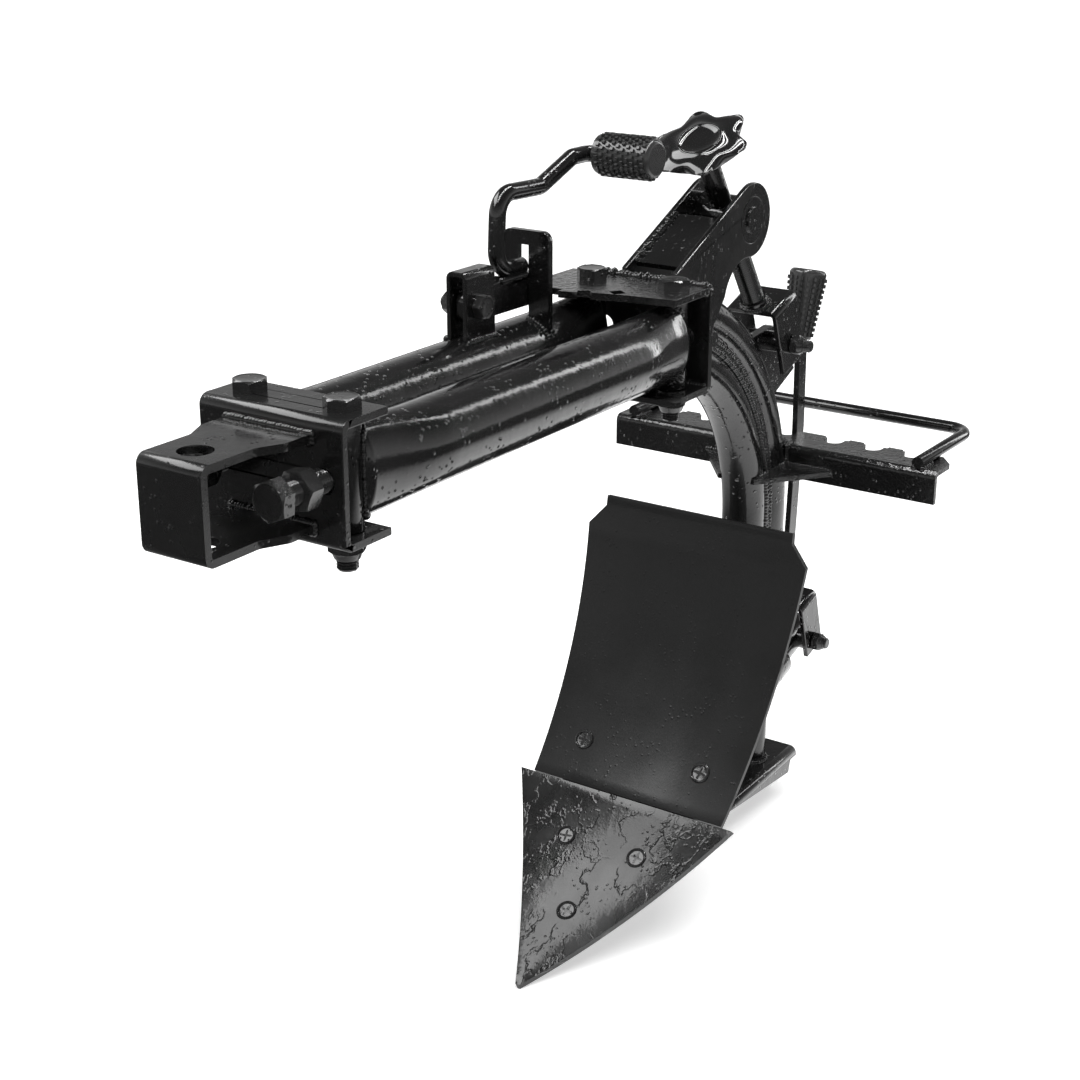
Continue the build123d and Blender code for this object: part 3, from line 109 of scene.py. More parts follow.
# Nodes -----------------------------------------------------------------------------------
class Nodes:
    """Adds and joins the nodes of one tree."""

    def __init__(self, tree: bpy.types.NodeTree) -> None:
        """Starts on a tree."""
        self.tree = tree

    def node(self, kind: str, **values: object) -> bpy.types.Node:
        """Adds a node and sets its properties and inputs by name.

        Args:
            kind: The node type's identifier.
            **values: Property values, or sockets or values for the inputs, with the spaces of
                their names as underscores.

        Returns:
            The new node.
        """
        made = self.tree.nodes.new(kind)
        for key, value in values.items():
            label = key.replace("_", " ")
            if label in made.inputs:
                self.feed(made.inputs[label], value)
            else:
                setattr(made, key, value)
        return made

    def feed(self, target: bpy.types.NodeSocket, value: object) -> None:
        """Links a socket to an input, or sets the input to a value."""
        if isinstance(value, bpy.types.NodeSocket):
            self.tree.links.new(value, target)
        else:
            target.default_value = value

    def fed(self, kind: str, *values: object, **properties: object) -> bpy.types.NodeSocket:
        """Adds a node whose inputs are given in their order.

        Args:
            kind: The node type's identifier.
            *values: Sockets or values for the first inputs.
            **properties: Property values.

        Returns:
            The first result's socket.
        """
        made = self.node(kind, **properties)
        for target, value in zip(made.inputs, values):
            self.feed(target, value)
        return made.outputs[0]

    def math(self, operation: str, *values: object) -> bpy.types.NodeSocket:
        """The result of a math operation on one or two sockets or numbers."""
        return self.fed("ShaderNodeMath", *values, operation=operation)


# Materials -------------------------------------------------------------------------------
class Shader(Nodes):
    """The nodes of one material."""

    def __init__(self, name: str) -> None:
        """Starts a material with an empty node tree.

        Args:
            name: The material's name.
        """
        self.material = bpy.data.materials.new(name)
        self.material.use_nodes = True
        super().__init__(self.material.node_tree)
        self.tree.nodes.clear()

    def finish(self, surface: bpy.types.NodeSocket) -> bpy.types.Material:
        """Ends the tree with a surface and gives the material."""
        self.node("ShaderNodeOutputMaterial", Surface=surface)
        return self.material

    def coords(self) -> bpy.types.NodeSocket:
        """The object's own coordinates, in metres."""
        return self.node("ShaderNodeTexCoord").outputs["Object"]

    def stretched(
        self, coords: bpy.types.NodeSocket, scale: tuple[float, float, float]
    ) -> bpy.types.NodeSocket:
        """Scales coordinates along their axes.

        Args:
            coords: The coordinates' socket.
            scale: The factor along each axis.

        Returns:
            The scaled coordinates' socket.
        """
        return self.node("ShaderNodeMapping", Scale=scale, Vector=coords).outputs["Vector"]

    def ramp(
        self,
        source: bpy.types.NodeSocket,
        low: float,
        high: float,
        to_low: float = 0.0,
        to_high: float = 1.0,
    ) -> bpy.types.NodeSocket:
        """Maps the range low to high of a value to another range.

        Args:
            source: The value's socket.
            low: The value that becomes to_low.
            high: The value that becomes to_high.
            to_low: The first end of the new range.
            to_high: The last end of the new range.

        Returns:
            The mapped value's socket.
        """
        made = self.node(
            "ShaderNodeMapRange",
            clamp=True,
            From_Min=low,
            From_Max=high,
            To_Min=to_low,
            To_Max=to_high,
            Value=source,
        )
        return made.outputs["Result"]

    def noise(
        self, coords: bpy.types.NodeSocket, scale: float, detail: float = 3.0
    ) -> bpy.types.NodeSocket:
        """Adds a noise texture on some coordinates.

        Args:
            coords: The coordinates' socket.
            scale: How many features there are to a metre.
            detail: How many finer layers there are.

        Returns:
            The noise's value.
        """
        made = self.node("ShaderNodeTexNoise", Scale=scale, Detail=detail, Vector=coords)
        return made.outputs["Fac"]

    def bump(
        self,
        height: bpy.types.NodeSocket,
        depth: float,
        strength: float,
        under: bpy.types.NodeSocket | None = None,
    ) -> bpy.types.NodeSocket:
        """Turns a height into a normal.

        Args:
            height: The height's socket.
            depth: The height of 1, in metres.
            strength: How much of it shows.
            under: A normal that this one adds to.

        Returns:
            The normal's socket.
        """
        made = self.node("ShaderNodeBump", Strength=strength, Distance=depth, Height=height)
        if under is not None:
            self.feed(made.inputs["Normal"], under)
        return made.outputs["Normal"]


def grey(tone: float) -> tuple[float, float, float, float]:
    """An opaque grey."""
    return (tone, tone, tone, 1.0)


@dataclass(frozen=True)
class Enamel:
    """Thick black enamel over steel, with orange peel, runs, specks, blotches and creases."""

    name: str
    colour: float = 0.0055
    rough_low: float = 0.1
    rough_high: float = 0.26
    coat: float = 1.0
    coat_roughness: float = 0.06
    peel: float = 0.3
    grain: float = 0.25
    specks: float = 1.0
    creases: float = 0.0
    mottle: float = 0.0

    def build(self) -> bpy.types.Material:
        """Makes the material.

        Returns:
            The finished material.
        """
        sh = Shader(self.name)
        coords = sh.coords()
        patches = sh.noise(coords, scale=16.0, detail=5.0)
        runs = sh.noise(sh.stretched(coords, (1.0, 1.0, 0.35)), scale=70.0, detail=2.0)
        normal = sh.bump(runs, depth=1.0 * MM, strength=self.peel)
        pores = sh.noise(coords, scale=520.0)
        normal = sh.bump(pores, depth=0.25 * MM, strength=self.grain, under=normal)
        normal = self.dust(sh, coords, normal)
        if self.mottle > 0.0:
            blotches = sh.ramp(sh.noise(coords, scale=210.0, detail=4.0), 0.42, 0.62)
            normal = sh.bump(blotches, depth=0.8 * MM, strength=self.mottle, under=normal)
        if self.creases > 0.0:
            normal = self.wrinkles(sh, coords, normal)
        body = sh.node(
            "ShaderNodeBsdfPrincipled",
            Base_Color=grey(self.colour),
            Roughness=sh.ramp(patches, 0.38, 0.66, self.rough_low, self.rough_high),
            Coat_Weight=self.coat,
            Coat_Roughness=self.coat_roughness,
            Normal=normal,
            Coat_Normal=normal,
        )
        return sh.finish(body.outputs["BSDF"])

    def dust(
        self, sh: Shader, coords: bpy.types.NodeSocket, under: bpy.types.NodeSocket
    ) -> bpy.types.NodeSocket:
        """Adds specks and weld spatter caught in the enamel.

        Args:
            sh: The material's helper.
            coords: The object's coordinates.
            under: The normal so far.

        Returns:
            The normal with the specks.
        """
        cells = sh.node("ShaderNodeTexVoronoi", Scale=190.0, Vector=coords)
        dots = sh.ramp(cells.outputs["Distance"], 0.28, 0.04)
        mask = sh.ramp(sh.noise(coords, scale=40.0, detail=2.0), 0.5, 0.57)
        spatter = sh.math("MULTIPLY", dots, mask)
        return sh.bump(spatter, depth=1.3 * MM, strength=self.specks, under=under)

    def wrinkles(
        self, sh: Shader, coords: bpy.types.NodeSocket, under: bpy.types.NodeSocket
    ) -> bpy.types.NodeSocket:
        """Adds thin raised creases, where the enamel has pulled together.

        Args:
            sh: The material's helper.
            coords: The object's coordinates.
            under: The normal so far.

        Returns:
            The normal with the creases.
        """
        pulled = sh.noise(sh.stretched(coords, (0.55, 1.0, 1.0)), scale=34.0, detail=4.0)
        rising = sh.ramp(pulled, 0.478, 0.5)
        falling = sh.ramp(pulled, 0.522, 0.5)
        mask = sh.ramp(sh.noise(coords, scale=13.0, detail=2.0), 0.43, 0.58)
        lines = sh.math("MULTIPLY", sh.math("MULTIPLY", rising, falling), mask)
        return sh.bump(lines, depth=1.6 * MM, strength=self.creases, under=under)


@dataclass(frozen=True)
class Moulded:
    """An even moulded finish with a fine grain, for rubber and plastic."""

    name: str
    colour: float
    roughness: float
    coat: float
    coat_roughness: float = 0.05
    grain: float = 0.2
    grain_scale: float = 600.0

    def build(self) -> bpy.types.Material:
        """Makes the material.

        Returns:
            The finished material.
        """
        sh = Shader(self.name)
        pores = sh.noise(sh.coords(), scale=self.grain_scale, detail=2.0)
        body = sh.node(
            "ShaderNodeBsdfPrincipled",
            Base_Color=grey(self.colour),
            Roughness=self.roughness,
            Coat_Weight=self.coat,
            Coat_Roughness=self.coat_roughness,
            Normal=sh.bump(pores, depth=0.4 * MM, strength=self.grain),
        )
        return sh.finish(body.outputs["BSDF"])


class Finishes:
    """The materials, by the record's slot and the enamel's coat."""

    def __init__(self) -> None:
        """Builds every finish once."""
        self.enamel = {
            Coat.GLOSSY: Enamel("glossy_enamel").build(),
            Coat.ROUGH: Enamel(
                "rough_enamel", rough_low=0.12, rough_high=0.3, grain=0.3, mottle=0.2
            ).build(),
            Coat.SATIN: Enamel(
                "satin_enamel",
                colour=0.007,
                rough_low=0.34,
                rough_high=0.46,
                coat=0.1,
                peel=0.12,
                grain=0.3,
                specks=0.2,
            ).build(),
            Coat.PLAIN: Enamel(
                "plain_enamel",
                colour=0.006,
                rough_low=0.2,
                rough_high=0.36,
                coat=0.6,
                peel=0.15,
                specks=0.5,
            ).build(),
            Coat.CREASED: Enamel(
                "creased_enamel",
                colour=0.008,
                rough_low=0.22,
                rough_high=0.4,
                coat=0.6,
                grain=0.3,
                specks=0.25,
                creases=0.3,
            ).build(),
        }
        self.others = {
            Slot.BOLTS: Enamel(
                "bolt_paint",
                colour=0.014,
                rough_low=0.14,
                rough_high=0.3,
                coat=0.8,
                peel=0.25,
                grain=0.35,
            ).build(),
            Slot.RUBBER: Moulded("black_rubber", colour=0.03, roughness=0.24, coat=0.7).build(),
            Slot.PLASTIC: Moulded(
                "black_plastic", colour=0.008, roughness=0.12, coat=1.0, grain=0.04
            ).build(),
        }

    def material(self, slot: Slot, coat: Coat = Coat.GLOSSY) -> bpy.types.Material:
        """The material of a slot.

        Args:
            slot: The record's slot.
            coat: How the enamel lies, for the painted slot.

        Returns:
            The material.
        """
        return self.enamel[coat] if slot is Slot.PAINT else self.others[slot]


# Geometry Nodes --------------------------------------------------------------------------
class NodeTree(Nodes):
    """A Geometry Nodes tree with named inputs, whose result becomes a plain mesh."""

    def __init__(self, name: str, inputs: dict[str, str]) -> None:
        """Starts the tree.

        Args:
            name: The tree's name.
            inputs: The socket type of each input, by its name.
        """
        super().__init__(bpy.data.node_groups.new(name, "GeometryNodeTree"))
        face = self.tree.interface
        face.new_socket("Geometry", in_out="OUTPUT", socket_type="NodeSocketGeometry")
        face.new_socket("Geometry", in_out="INPUT", socket_type="NodeSocketGeometry")
        self.ids = {}
        for label, kind in {**inputs, "Material": "NodeSocketMaterial"}.items():
            socket = face.new_socket(label, in_out="INPUT", socket_type=kind)
            self.ids[label] = socket.identifier
        self.given = self.node("NodeGroupInput").outputs

    def combine(self, *values: object) -> bpy.types.NodeSocket:
        """A vector from three sockets or numbers."""
        return self.fed("ShaderNodeCombineXYZ", *values)

    def attribute(self, name: str, kind: str) -> bpy.types.NodeSocket:
        """The values that a mesh carries under a name.

        Args:
            name: The attribute's name.
            kind: FLOAT or FLOAT_VECTOR.

        Returns:
            The attribute's socket.
        """
        made = self.node("GeometryNodeInputNamedAttribute", data_type=kind, Name=name)
        return made.outputs["Attribute"]

    def chance(self, low: object, high: object) -> bpy.types.NodeSocket:
        """A random number for each element, from the tree's seed.

        Args:
            low: The least value, as a socket or a number.
            high: The greatest value, as a socket or a number.

        Returns:
            The number's socket.
        """
        made = self.node("FunctionNodeRandomValue", data_type="FLOAT", Seed=self.given["Seed"])
        sockets = [s for s in made.inputs if s.type == "VALUE" and s.name in ("Min", "Max")]
        for socket, value in zip(sockets, (low, high)):
            self.feed(socket, value)
        return made.outputs[1]

    def aimed(self, towards: bpy.types.NodeSocket) -> bpy.types.NodeSocket:
        """A rotation that points local Z along a vector."""
        made = self.node("FunctionNodeAlignRotationToVector", axis="Z", Vector=towards)
        return made.outputs["Rotation"]

    def spun(
        self, rotation: bpy.types.NodeSocket, angle: bpy.types.NodeSocket
    ) -> bpy.types.NodeSocket:
        """A rotation turned further about its own Z.

        Args:
            rotation: The rotation's socket.
            angle: The further angle's socket.

        Returns:
            The turned rotation's socket.
        """
        turn = self.node("FunctionNodeAxisAngleToRotation", Axis=UP, Angle=angle)
        made = self.node(
            "FunctionNodeRotateRotation",
            rotation_space="LOCAL",
            Rotation=rotation,
            Rotate_By=turn.outputs["Rotation"],
        )
        return made.outputs["Rotation"]

    def end(self, **values: bpy.types.NodeSocket) -> None:
        """Ends the tree with Instance on Points, Realize Instances and Set Material.

        Args:
            **values: The sockets of the inputs of Instance on Points.
        """
        placed = self.node("GeometryNodeInstanceOnPoints", **values)
        real = self.node("GeometryNodeRealizeInstances", Geometry=placed.outputs["Instances"])
        paint = self.node(
            "GeometryNodeSetMaterial",
            Geometry=real.outputs["Geometry"],
            Material=self.given["Material"],
        )
        self.node("NodeGroupOutput", Geometry=paint.outputs["Geometry"])

    def bake(self, name: str, base: bpy.types.Mesh, **values: object) -> bpy.types.Object:
        """Runs the tree on a mesh and keeps the result as a plain mesh.

        Args:
            name: The new object's name.
            base: The mesh that the tree starts from.
            **values: The inputs' values, with their spaces as underscores.

        Returns:
            The new object.
        """
        made = bpy.data.objects.new(name, base)
        bpy.context.scene.collection.objects.link(made)
        modifier = made.modifiers.new("shape", "NODES")
        modifier.node_group = self.tree
        for label, value in values.items():
            modifier[self.ids[label.replace("_", " ")]] = value
        graph = bpy.context.evaluated_depsgraph_get()
        mesh = bpy.data.meshes.new_from_object(made.evaluated_get(graph))
        made.modifiers.clear()
        made.data = mesh
        mesh.name = name
        mesh.materials.clear()
        mesh.materials.append(values["Material"])
        mesh.polygons.foreach_set("material_index", [0] * len(mesh.polygons))
        return made


class BeadTree(NodeTree):
    """Overlapping ripples of weld along polylines that carry their girth."""

    OVERLAP = 0.85

    def __init__(self) -> None:
        """Builds the tree."""
        inputs = {
            "Pitch": "NodeSocketFloat",
            "Jitter": "NodeSocketFloat",
            "Seed": "NodeSocketInt",
        }
        super().__init__("weld_bead", inputs)
        line = self.node("GeometryNodeMeshToCurve", Mesh=self.given["Geometry"])
        evenly = self.node(
            "GeometryNodeResampleCurve",
            mode="LENGTH",
            Curve=line.outputs["Curve"],
            Length=self.given["Pitch"],
        )
        drop = self.node("GeometryNodeMeshIcoSphere", Subdivisions=2)
        soft = self.node("GeometryNodeSetShadeSmooth", Geometry=drop.outputs["Mesh"])
        least = self.math("SUBTRACT", 1.0, self.given["Jitter"])
        most = self.math("ADD", 1.0, self.given["Jitter"])
        size = self.math("MULTIPLY", self.attribute("girth", "FLOAT"), self.chance(least, most))
        thick = self.math("MULTIPLY", self.given["Pitch"], self.OVERLAP)
        tangent = self.node("GeometryNodeInputTangent").outputs["Tangent"]
        self.end(
            Points=evenly.outputs["Curve"],
            Instance=soft.outputs["Geometry"],
            Rotation=self.aimed(tangent),
            Scale=self.combine(size, size, thick),
        )


class StampTree(NodeTree):
    """Copies of one shape on points that carry their axis, each spun by chance."""

    def __init__(self) -> None:
        """Builds the tree."""
        super().__init__("stamped", {"Shape": "NodeSocketObject", "Seed": "NodeSocketInt"})
        shape = self.node("GeometryNodeObjectInfo", Object=self.given["Shape"])
        aim = self.aimed(self.attribute("axis", "FLOAT_VECTOR"))
        self.end(
            Points=self.given["Geometry"],
            Instance=shape.outputs["Geometry"],
            Rotation=self.spun(aim, self.chance(0.0, math.tau)),
        )


class TreadTree(NodeTree):
    """Rows of small raised pads round a tapered grip that stands on its foot."""

    def __init__(self) -> None:
        """Builds the tree."""
        inputs = {
            "Foot Radius": "NodeSocketFloat",
            "Top Radius": "NodeSocketFloat",
            "Length": "NodeSocketFloat",
            "Columns": "NodeSocketInt",
            "Rows": "NodeSocketInt",
            "Stagger": "NodeSocketFloat",
            "Pad": "NodeSocketVector",
            "Shape": "NodeSocketObject",
        }
        super().__init__("grip_tread", inputs)
        count = self.math("MULTIPLY", self.given["Columns"], self.given["Rows"])
        line = self.node("GeometryNodeMeshLine", Count=count)
        index = self.node("GeometryNodeInputIndex").outputs["Index"]
        columns = self.given["Columns"]
        row = self.math("FLOOR", self.math("DIVIDE", index, columns))
        column = self.math("MODULO", index, columns)
        shift = self.math("MULTIPLY", self.math("MODULO", row, 2.0), self.given["Stagger"])
        turn = self.math("DIVIDE", math.tau, columns)
        angle = self.math("MULTIPLY", self.math("ADD", column, shift), turn)
        share = self.math("DIVIDE", self.math("ADD", row, 0.5), self.given["Rows"])
        growth = self.math("SUBTRACT", self.given["Top Radius"], self.given["Foot Radius"])
        widening = self.math("MULTIPLY", growth, share)
        radius = self.math("ADD", self.given["Foot Radius"], widening)
        across = self.math("MULTIPLY", radius, self.math("COSINE", angle))
        along = self.math("MULTIPLY", radius, self.math("SINE", angle))
        height = self.math("MULTIPLY", share, self.given["Length"])
        moved = self.node(
            "GeometryNodeSetPosition",
            Geometry=line.outputs["Mesh"],
            Position=self.combine(across, along, height),
        )
        pad = self.node("GeometryNodeObjectInfo", Object=self.given["Shape"])
        self.end(
            Points=moved.outputs["Geometry"],
            Instance=pad.outputs["Geometry"],
            Rotation=self.combine(0.0, 0.0, angle),
            Scale=self.given["Pad"],
        )


# Meshes ----------------------------------------------------------------------------------
Ring = list[tuple[float, float]]


def link(name: str, mesh: bpy.types.Mesh) -> bpy.types.Object:
    """Puts a mesh into the scene as an object at the origin."""
    made = bpy.data.objects.new(name, mesh)
    bpy.context.scene.collection.objects.link(made)
    return made


def polar_mesh(name: str, rings: list[Ring]) -> bpy.types.Mesh:
    """A closed mesh from rings about Z, from the lowest to the highest.

    Args:
        name: The mesh's name.
        rings: For each ring, its radius and height at evenly spaced angles, in mm.

    Returns:
        The mesh, with a fan of triangles at each end.
    """
    count = len(rings[0])
    points, faces = [], []
    for ring in rings:
        for place, (radius, height) in enumerate(ring):
            angle = math.tau * place / count
            points.append((radius * math.cos(angle), radius * math.sin(angle), height))
    for level in range(len(rings) - 1):
        for place in range(count):
            after = (place + 1) % count
            low, high = level * count, (level + 1) * count
            faces.append((low + place, low + after, high + after, high + place))
    for level, turned in ((0, True), (len(rings) - 1, False)):
        middle = len(points)
        points.append((0.0, 0.0, sum(h for _, h in rings[level]) / count))
        for place in range(count):
            pair = (level * count + place, level * count + (place + 1) % count)
            faces.append((*(reversed(pair) if turned else pair), middle))
    mesh = bpy.data.meshes.new(name)
    mesh.from_pydata([Vector(p) * MM for p in points], [], faces)
    mesh.update()
    return mesh


def round_rings(profile: list[tuple[float, float]], count: int = 36) -> list[Ring]:
    """The rings of a turned shape.

    Args:
        profile: Radius and height of each ring, in mm.
        count: How many points there are to a ring.

    Returns:
        The rings.
    """
    return [[pair] * count for pair in profile]


def hex_radius(flats: float, angle: float) -> float:
    """The radius of a hexagon at an angle from the middle of a flat."""
    sixth = math.pi / 3
    return flats / 2 / math.cos((angle + sixth / 2) % sixth - sixth / 2)


def hex_rings(flats: float, height: float, both: bool, count: int = 36) -> list[Ring]:
    """The rings of a hexagon whose corners are chamfered to a circle.

    Args:
        flats: The width across the flats, in mm.
        height: The height, in mm.
        both: Whether the lower end is chamfered too.
        count: How many points there are to a ring.

    Returns:
        The rings.
    """
    circle, slope = 0.47 * flats, math.tan(math.radians(30))
    outline = [hex_radius(flats, math.tau * k / count) for k in range(count)]
    drops = [(radius - circle) * slope for radius in outline]
    rings = [[(circle, 0.0)] * count] if both else []
    rings.append([(r, d if both else 0.0) for r, d in zip(outline, drops)])
    rings.append([(r, height - d) for r, d in zip(outline, drops)])
    rings.append([(circle, height)] * count)
    return rings


def join_all(name: str, pieces: list[bpy.types.Object]) -> bpy.types.Object:
    """Joins objects' meshes into one object and removes the others.

    Args:
        name: The joined object's name.
        pieces: Objects that stand at the origin.

    Returns:
        The joined object.
    """
    merged = bmesh.new()
    for piece in pieces:
        merged.from_mesh(piece.data)
    mesh = bpy.data.meshes.new(name)
    mesh.materials.append(pieces[0].data.materials[0])
    merged.to_mesh(mesh)
    merged.free()
    for piece in pieces:
        bpy.data.objects.remove(piece)
    return link(name, mesh)


def carry(mesh: bpy.types.Mesh, name: str, kind: str, values: list[float]) -> None:
    """Gives a mesh's points a named attribute.

    Args:
        mesh: The mesh.
        name: The attribute's name.
        kind: FLOAT or FLOAT_VECTOR.
        values: The values in a flat list.
    """
    label = "value" if kind == "FLOAT" else "vector"
    mesh.attributes.new(name, kind, "POINT").data.foreach_set(label, values)


def shade(obj: bpy.types.Object, smooth: bool = True) -> None:
    """Shades all of an object's faces smooth or flat."""
    obj.data.polygons.foreach_set("use_smooth", [smooth] * len(obj.data.polygons))


# Welds -----------------------------------------------------------------------------------
@dataclass(frozen=True)
class Seam:
    """One run of weld, in mm."""

    points: list[Vector]
    girth: float = 3.2
    closed: bool = False


def straight(start: tuple, end: tuple, girth: float = 3.2) -> Seam:
    """A straight seam between two places, in mm."""
    return Seam([Vector(start), Vector(end)], girth)


def both_sides(start: tuple, end: tuple, girth: float = 3.2) -> list[Seam]:
    """A straight seam at y and the same at -y, in mm."""
    other = [(x, -y, z) for x, y, z in (start, end)]
    return [straight(start, end, girth), straight(*other, girth)]


def ring_on_plane(
    centre: Vector,
    axis: Vector,
    radius: float,
    place: Vector,
    normal: Vector,
    girth: float = 3.2,
    steps: int = 48,
) -> Seam:
    """A seam where a round bar goes through a plane.

    Args:
        centre: A point on the bar's axis, in mm.
        axis: The bar's direction, which mustn't be LEFT.
        radius: The bar's radius, in mm.
        place: A point on the plane, in mm.
        normal: The plane's normal.
        girth: The bead's radius, in mm.
        steps: How many points the seam has.

    Returns:
        The closed seam.
    """
    across = axis.cross(LEFT).normalized()
    other = axis.cross(across)
    points = []
    for step in range(steps):
        angle = math.tau * step / steps
        rim = centre + (across * math.cos(angle) + other * math.sin(angle)) * radius
        points.append(rim + axis * ((place - rim).dot(normal) / axis.dot(normal)))
    return Seam(points, girth, closed=True)


@dataclass
class Welder:
    """Lays the seams of one piece in one go."""

    tree: BeadTree
    finishes: Finishes

    def lay(
        self,
        name: str,
        body: str,
        seams: list[Seam],
        pitch: float = 2.6,
        jitter: float = 0.2,
        seed: int = SEED,
    ) -> bpy.types.Object:
        """Makes a piece of weld metal that rides on a body.

        Args:
            name: The piece's name.
            body: The body that it rides on.
            seams: Where the weld runs.
            pitch: The distance between ripples, in mm.
            jitter: How much the ripples' size varies.
            seed: The seed of that variation.

        Returns:
            The piece.
        """
        points, edges, girths = [], [], []
        for seam in seams:
            first = len(points)
            points += [p * MM for p in seam.points]
            girths += [seam.girth * MM] * len(seam.points)
            last = len(points) - 1
            edges += [(k, k + 1) for k in range(first, last)]
            if seam.closed:
                edges.append((last, first))
        line = bpy.data.meshes.new(name + "_line")
        line.from_pydata(points, edges, [])
        carry(line, "girth", "FLOAT", girths)
        made = self.tree.bake(
            name,
            line,
            Pitch=pitch * MM,
            Jitter=jitter,
            Seed=seed,
            Material=self.finishes.material(Slot.PAINT, Coat.GLOSSY),
        )
        shade(made)
        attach(made, body)
        log.info("%s: %d seams, %d faces", name, len(seams), len(made.data.polygons))
        return made


# Fasteners -------------------------------------------------------------------------------
Places = list[tuple[Vector, Vector]]


@dataclass(frozen=True)
class Metric:
    """The sizes of a bolt and its nut, in mm."""

    diameter: float
    flats: float
    nut: float
    head: float = 0.0


M10 = Metric(diameter=10.0, flats=17.0, nut=8.0)
M12 = Metric(diameter=12.0, flats=18.0, nut=11.0, head=8.0)
M16 = Metric(diameter=16.0, flats=24.0, nut=15.0, head=8.8)
M18 = Metric(diameter=18.0, flats=27.0, nut=14.0, head=11.5)


@dataclass(frozen=True)
class Bolt:
    """A bolt along an axis, whose head and nut point away from its origin.

    Places along the axis are in mm, from the origin: the head's and the nut's inner faces and
    the shank's ends. A countersunk head has a diameter and a depth, and a pair of spacers a
    diameter and the distances at which they start and end.
    """

    origin: Vector
    axis: Vector
    size: Metric
    head: float | None
    nut: float
    shank: tuple[float, float]
    lock_nut: bool = True
    countersunk: tuple[float, float] | None = None
    spacers: tuple[float, float, float] | None = None


class Workshop:
    """Makes the shapes of bolt heads, nuts and bars, and stamps them where bolts are.

    Each shape's profile is a list of rings, as radius and height in mm.
    """

    THREAD_PITCH = 2.2
    THREAD_DEPTH = 0.85
    CHAMFER = 1.2
    # The cross's rings: share of the head's radius between its arms, what the arms add to
    # it, how narrow they are, and the height.
    CROSS = ((0.08, 0.34, 6, 3.4), (0.14, 0.42, 5, 1.6), (0.18, 0.44, 4, -0.2))
    SHARP_EDGE = math.radians(38)

    def __init__(self, tree: StampTree, finishes: Finishes) -> None:
        """Starts with no shapes.

        Args:
            tree: The tree that stamps them.
            finishes: The materials.
        """
        self.tree = tree
        self.finishes = finishes
        self.shapes: dict[tuple[str | float, ...], bpy.types.Object] = {}

    def shape(self, kind: str, *sizes: float) -> bpy.types.Object:
        """A shape that starts at its origin and runs along Z.

        Args:
            kind: head, nut, lock, bar, ridge, plain or recess.
            *sizes: The shape's sizes in mm.

        Returns:
            The shape's object, made once for each kind and size.
        """
        key = (kind, *(round(s, 3) for s in sizes))
        if key not in self.shapes:
            rings = getattr(self, kind)(*sizes)
            self.shapes[key] = link("shape_" + kind, polar_mesh("shape_" + kind, rings))
        return self.shapes[key]

    def head(self, flats: float, height: float) -> list[Ring]:
        """A bolt head with a turned top."""
        dished = [(0.4 * flats, height - 0.3), (0.36 * flats, height - 0.35)]
        return hex_rings(flats, height, both=False) + round_rings(dished)

    def nut(self, flats: float, height: float) -> list[Ring]:
        """A plain nut, chamfered at both ends."""
        return hex_rings(flats, height, both=True)

    def lock(self, flats: float, height: float) -> list[Ring]:
        """A nut with a cone above its hexagon."""
        hexagon = 0.66 * height
        foot, shoulder = (0.46 * flats, hexagon + 0.3), (0.4 * flats, height - 0.8)
        cone = [foot, shoulder, (0.37 * flats, height)]
        return hex_rings(flats, hexagon, both=True) + round_rings(cone)

    def bar(self, diameter: float, length: float) -> list[Ring]:
        """A threaded bar with chamfered ends."""
        radius, bare = diameter / 2, self.CHAMFER / 2
        root = radius - self.THREAD_DEPTH
        profile = [(radius - self.CHAMFER, 0.0)]
        crests = max(1, int((length - self.CHAMFER) / self.THREAD_PITCH))
        pitch = (length - self.CHAMFER) / crests
        for crest in range(crests):
            start = bare + crest * pitch
            rise, fall = start + 0.45 * pitch, start + 0.55 * pitch
            profile += [(root, start), (radius, rise), (radius, fall)]
        profile += [(root, length - bare), (radius - self.CHAMFER, length)]
        return round_rings(profile, count=24)

    def ridge(self, radius: float) -> list[Ring]:
        """One turn of thread on a bar."""
        foot, crest = radius - 0.9, radius + 0.5
        return round_rings([(foot, -1.2), (crest, -0.2), (crest, 0.2), (foot, 1.2)])

    def plain(self, diameter: float, length: float) -> list[Ring]:
        """A plain round bar."""
        return round_rings([(diameter / 2, 0.0), (diameter / 2, length)], count=32)

    def recess(self, diameter: float, depth: float, shank: float) -> list[Ring]:
        """A countersunk head with a raised rim, whose face is at its origin, facing -Z.

        Args:
            diameter: The head's diameter, in mm.
            depth: How far it goes in, in mm.
            shank: The shank's diameter, in mm.

        Returns:
            The rings, from the floor of the cross to the shank.
        """
        radius, count, arms = diameter / 2, 40, 4
        lobes = [abs(math.cos(math.pi * arms * place / count)) for place in range(count)]
        cross = []
        for hub, reach, power, height in self.CROSS:
            cross.append([(radius * (hub + reach * lobe**power), height) for lobe in lobes])
        face = ((0.62, -0.1), (0.7, -0.2), (0.76, -1.3), (0.86, -1.7), (0.96, -1.2), (1.0, 0.3))
        outside = [(share * radius, height) for share, height in face] + [(shank / 2, depth)]
        return cross + round_rings(outside, count)

    def stamp(
        self,
        name: str,
        shape: bpy.types.Object,
        places: Places,
        material: bpy.types.Material,
        seed: int = SEED,
    ) -> bpy.types.Object:
        """Copies a shape to places, each copy spun by chance about its own axis.

        Args:
            name: The new object's name.
            shape: What is copied.
            places: Where each copy starts, in mm, and the direction that it runs in.
            material: The copies' material.
            seed: The seed of their spins.

        Returns:
            The copies as one object.
        """
        points = bpy.data.meshes.new(name + "_places")
        points.from_pydata([place * MM for place, _ in places], [], [])
        carry(points, "axis", "FLOAT_VECTOR", [c for _, axis in places for c in axis])
        return self.tree.bake(name, points, Shape=shape, Seed=seed, Material=material)

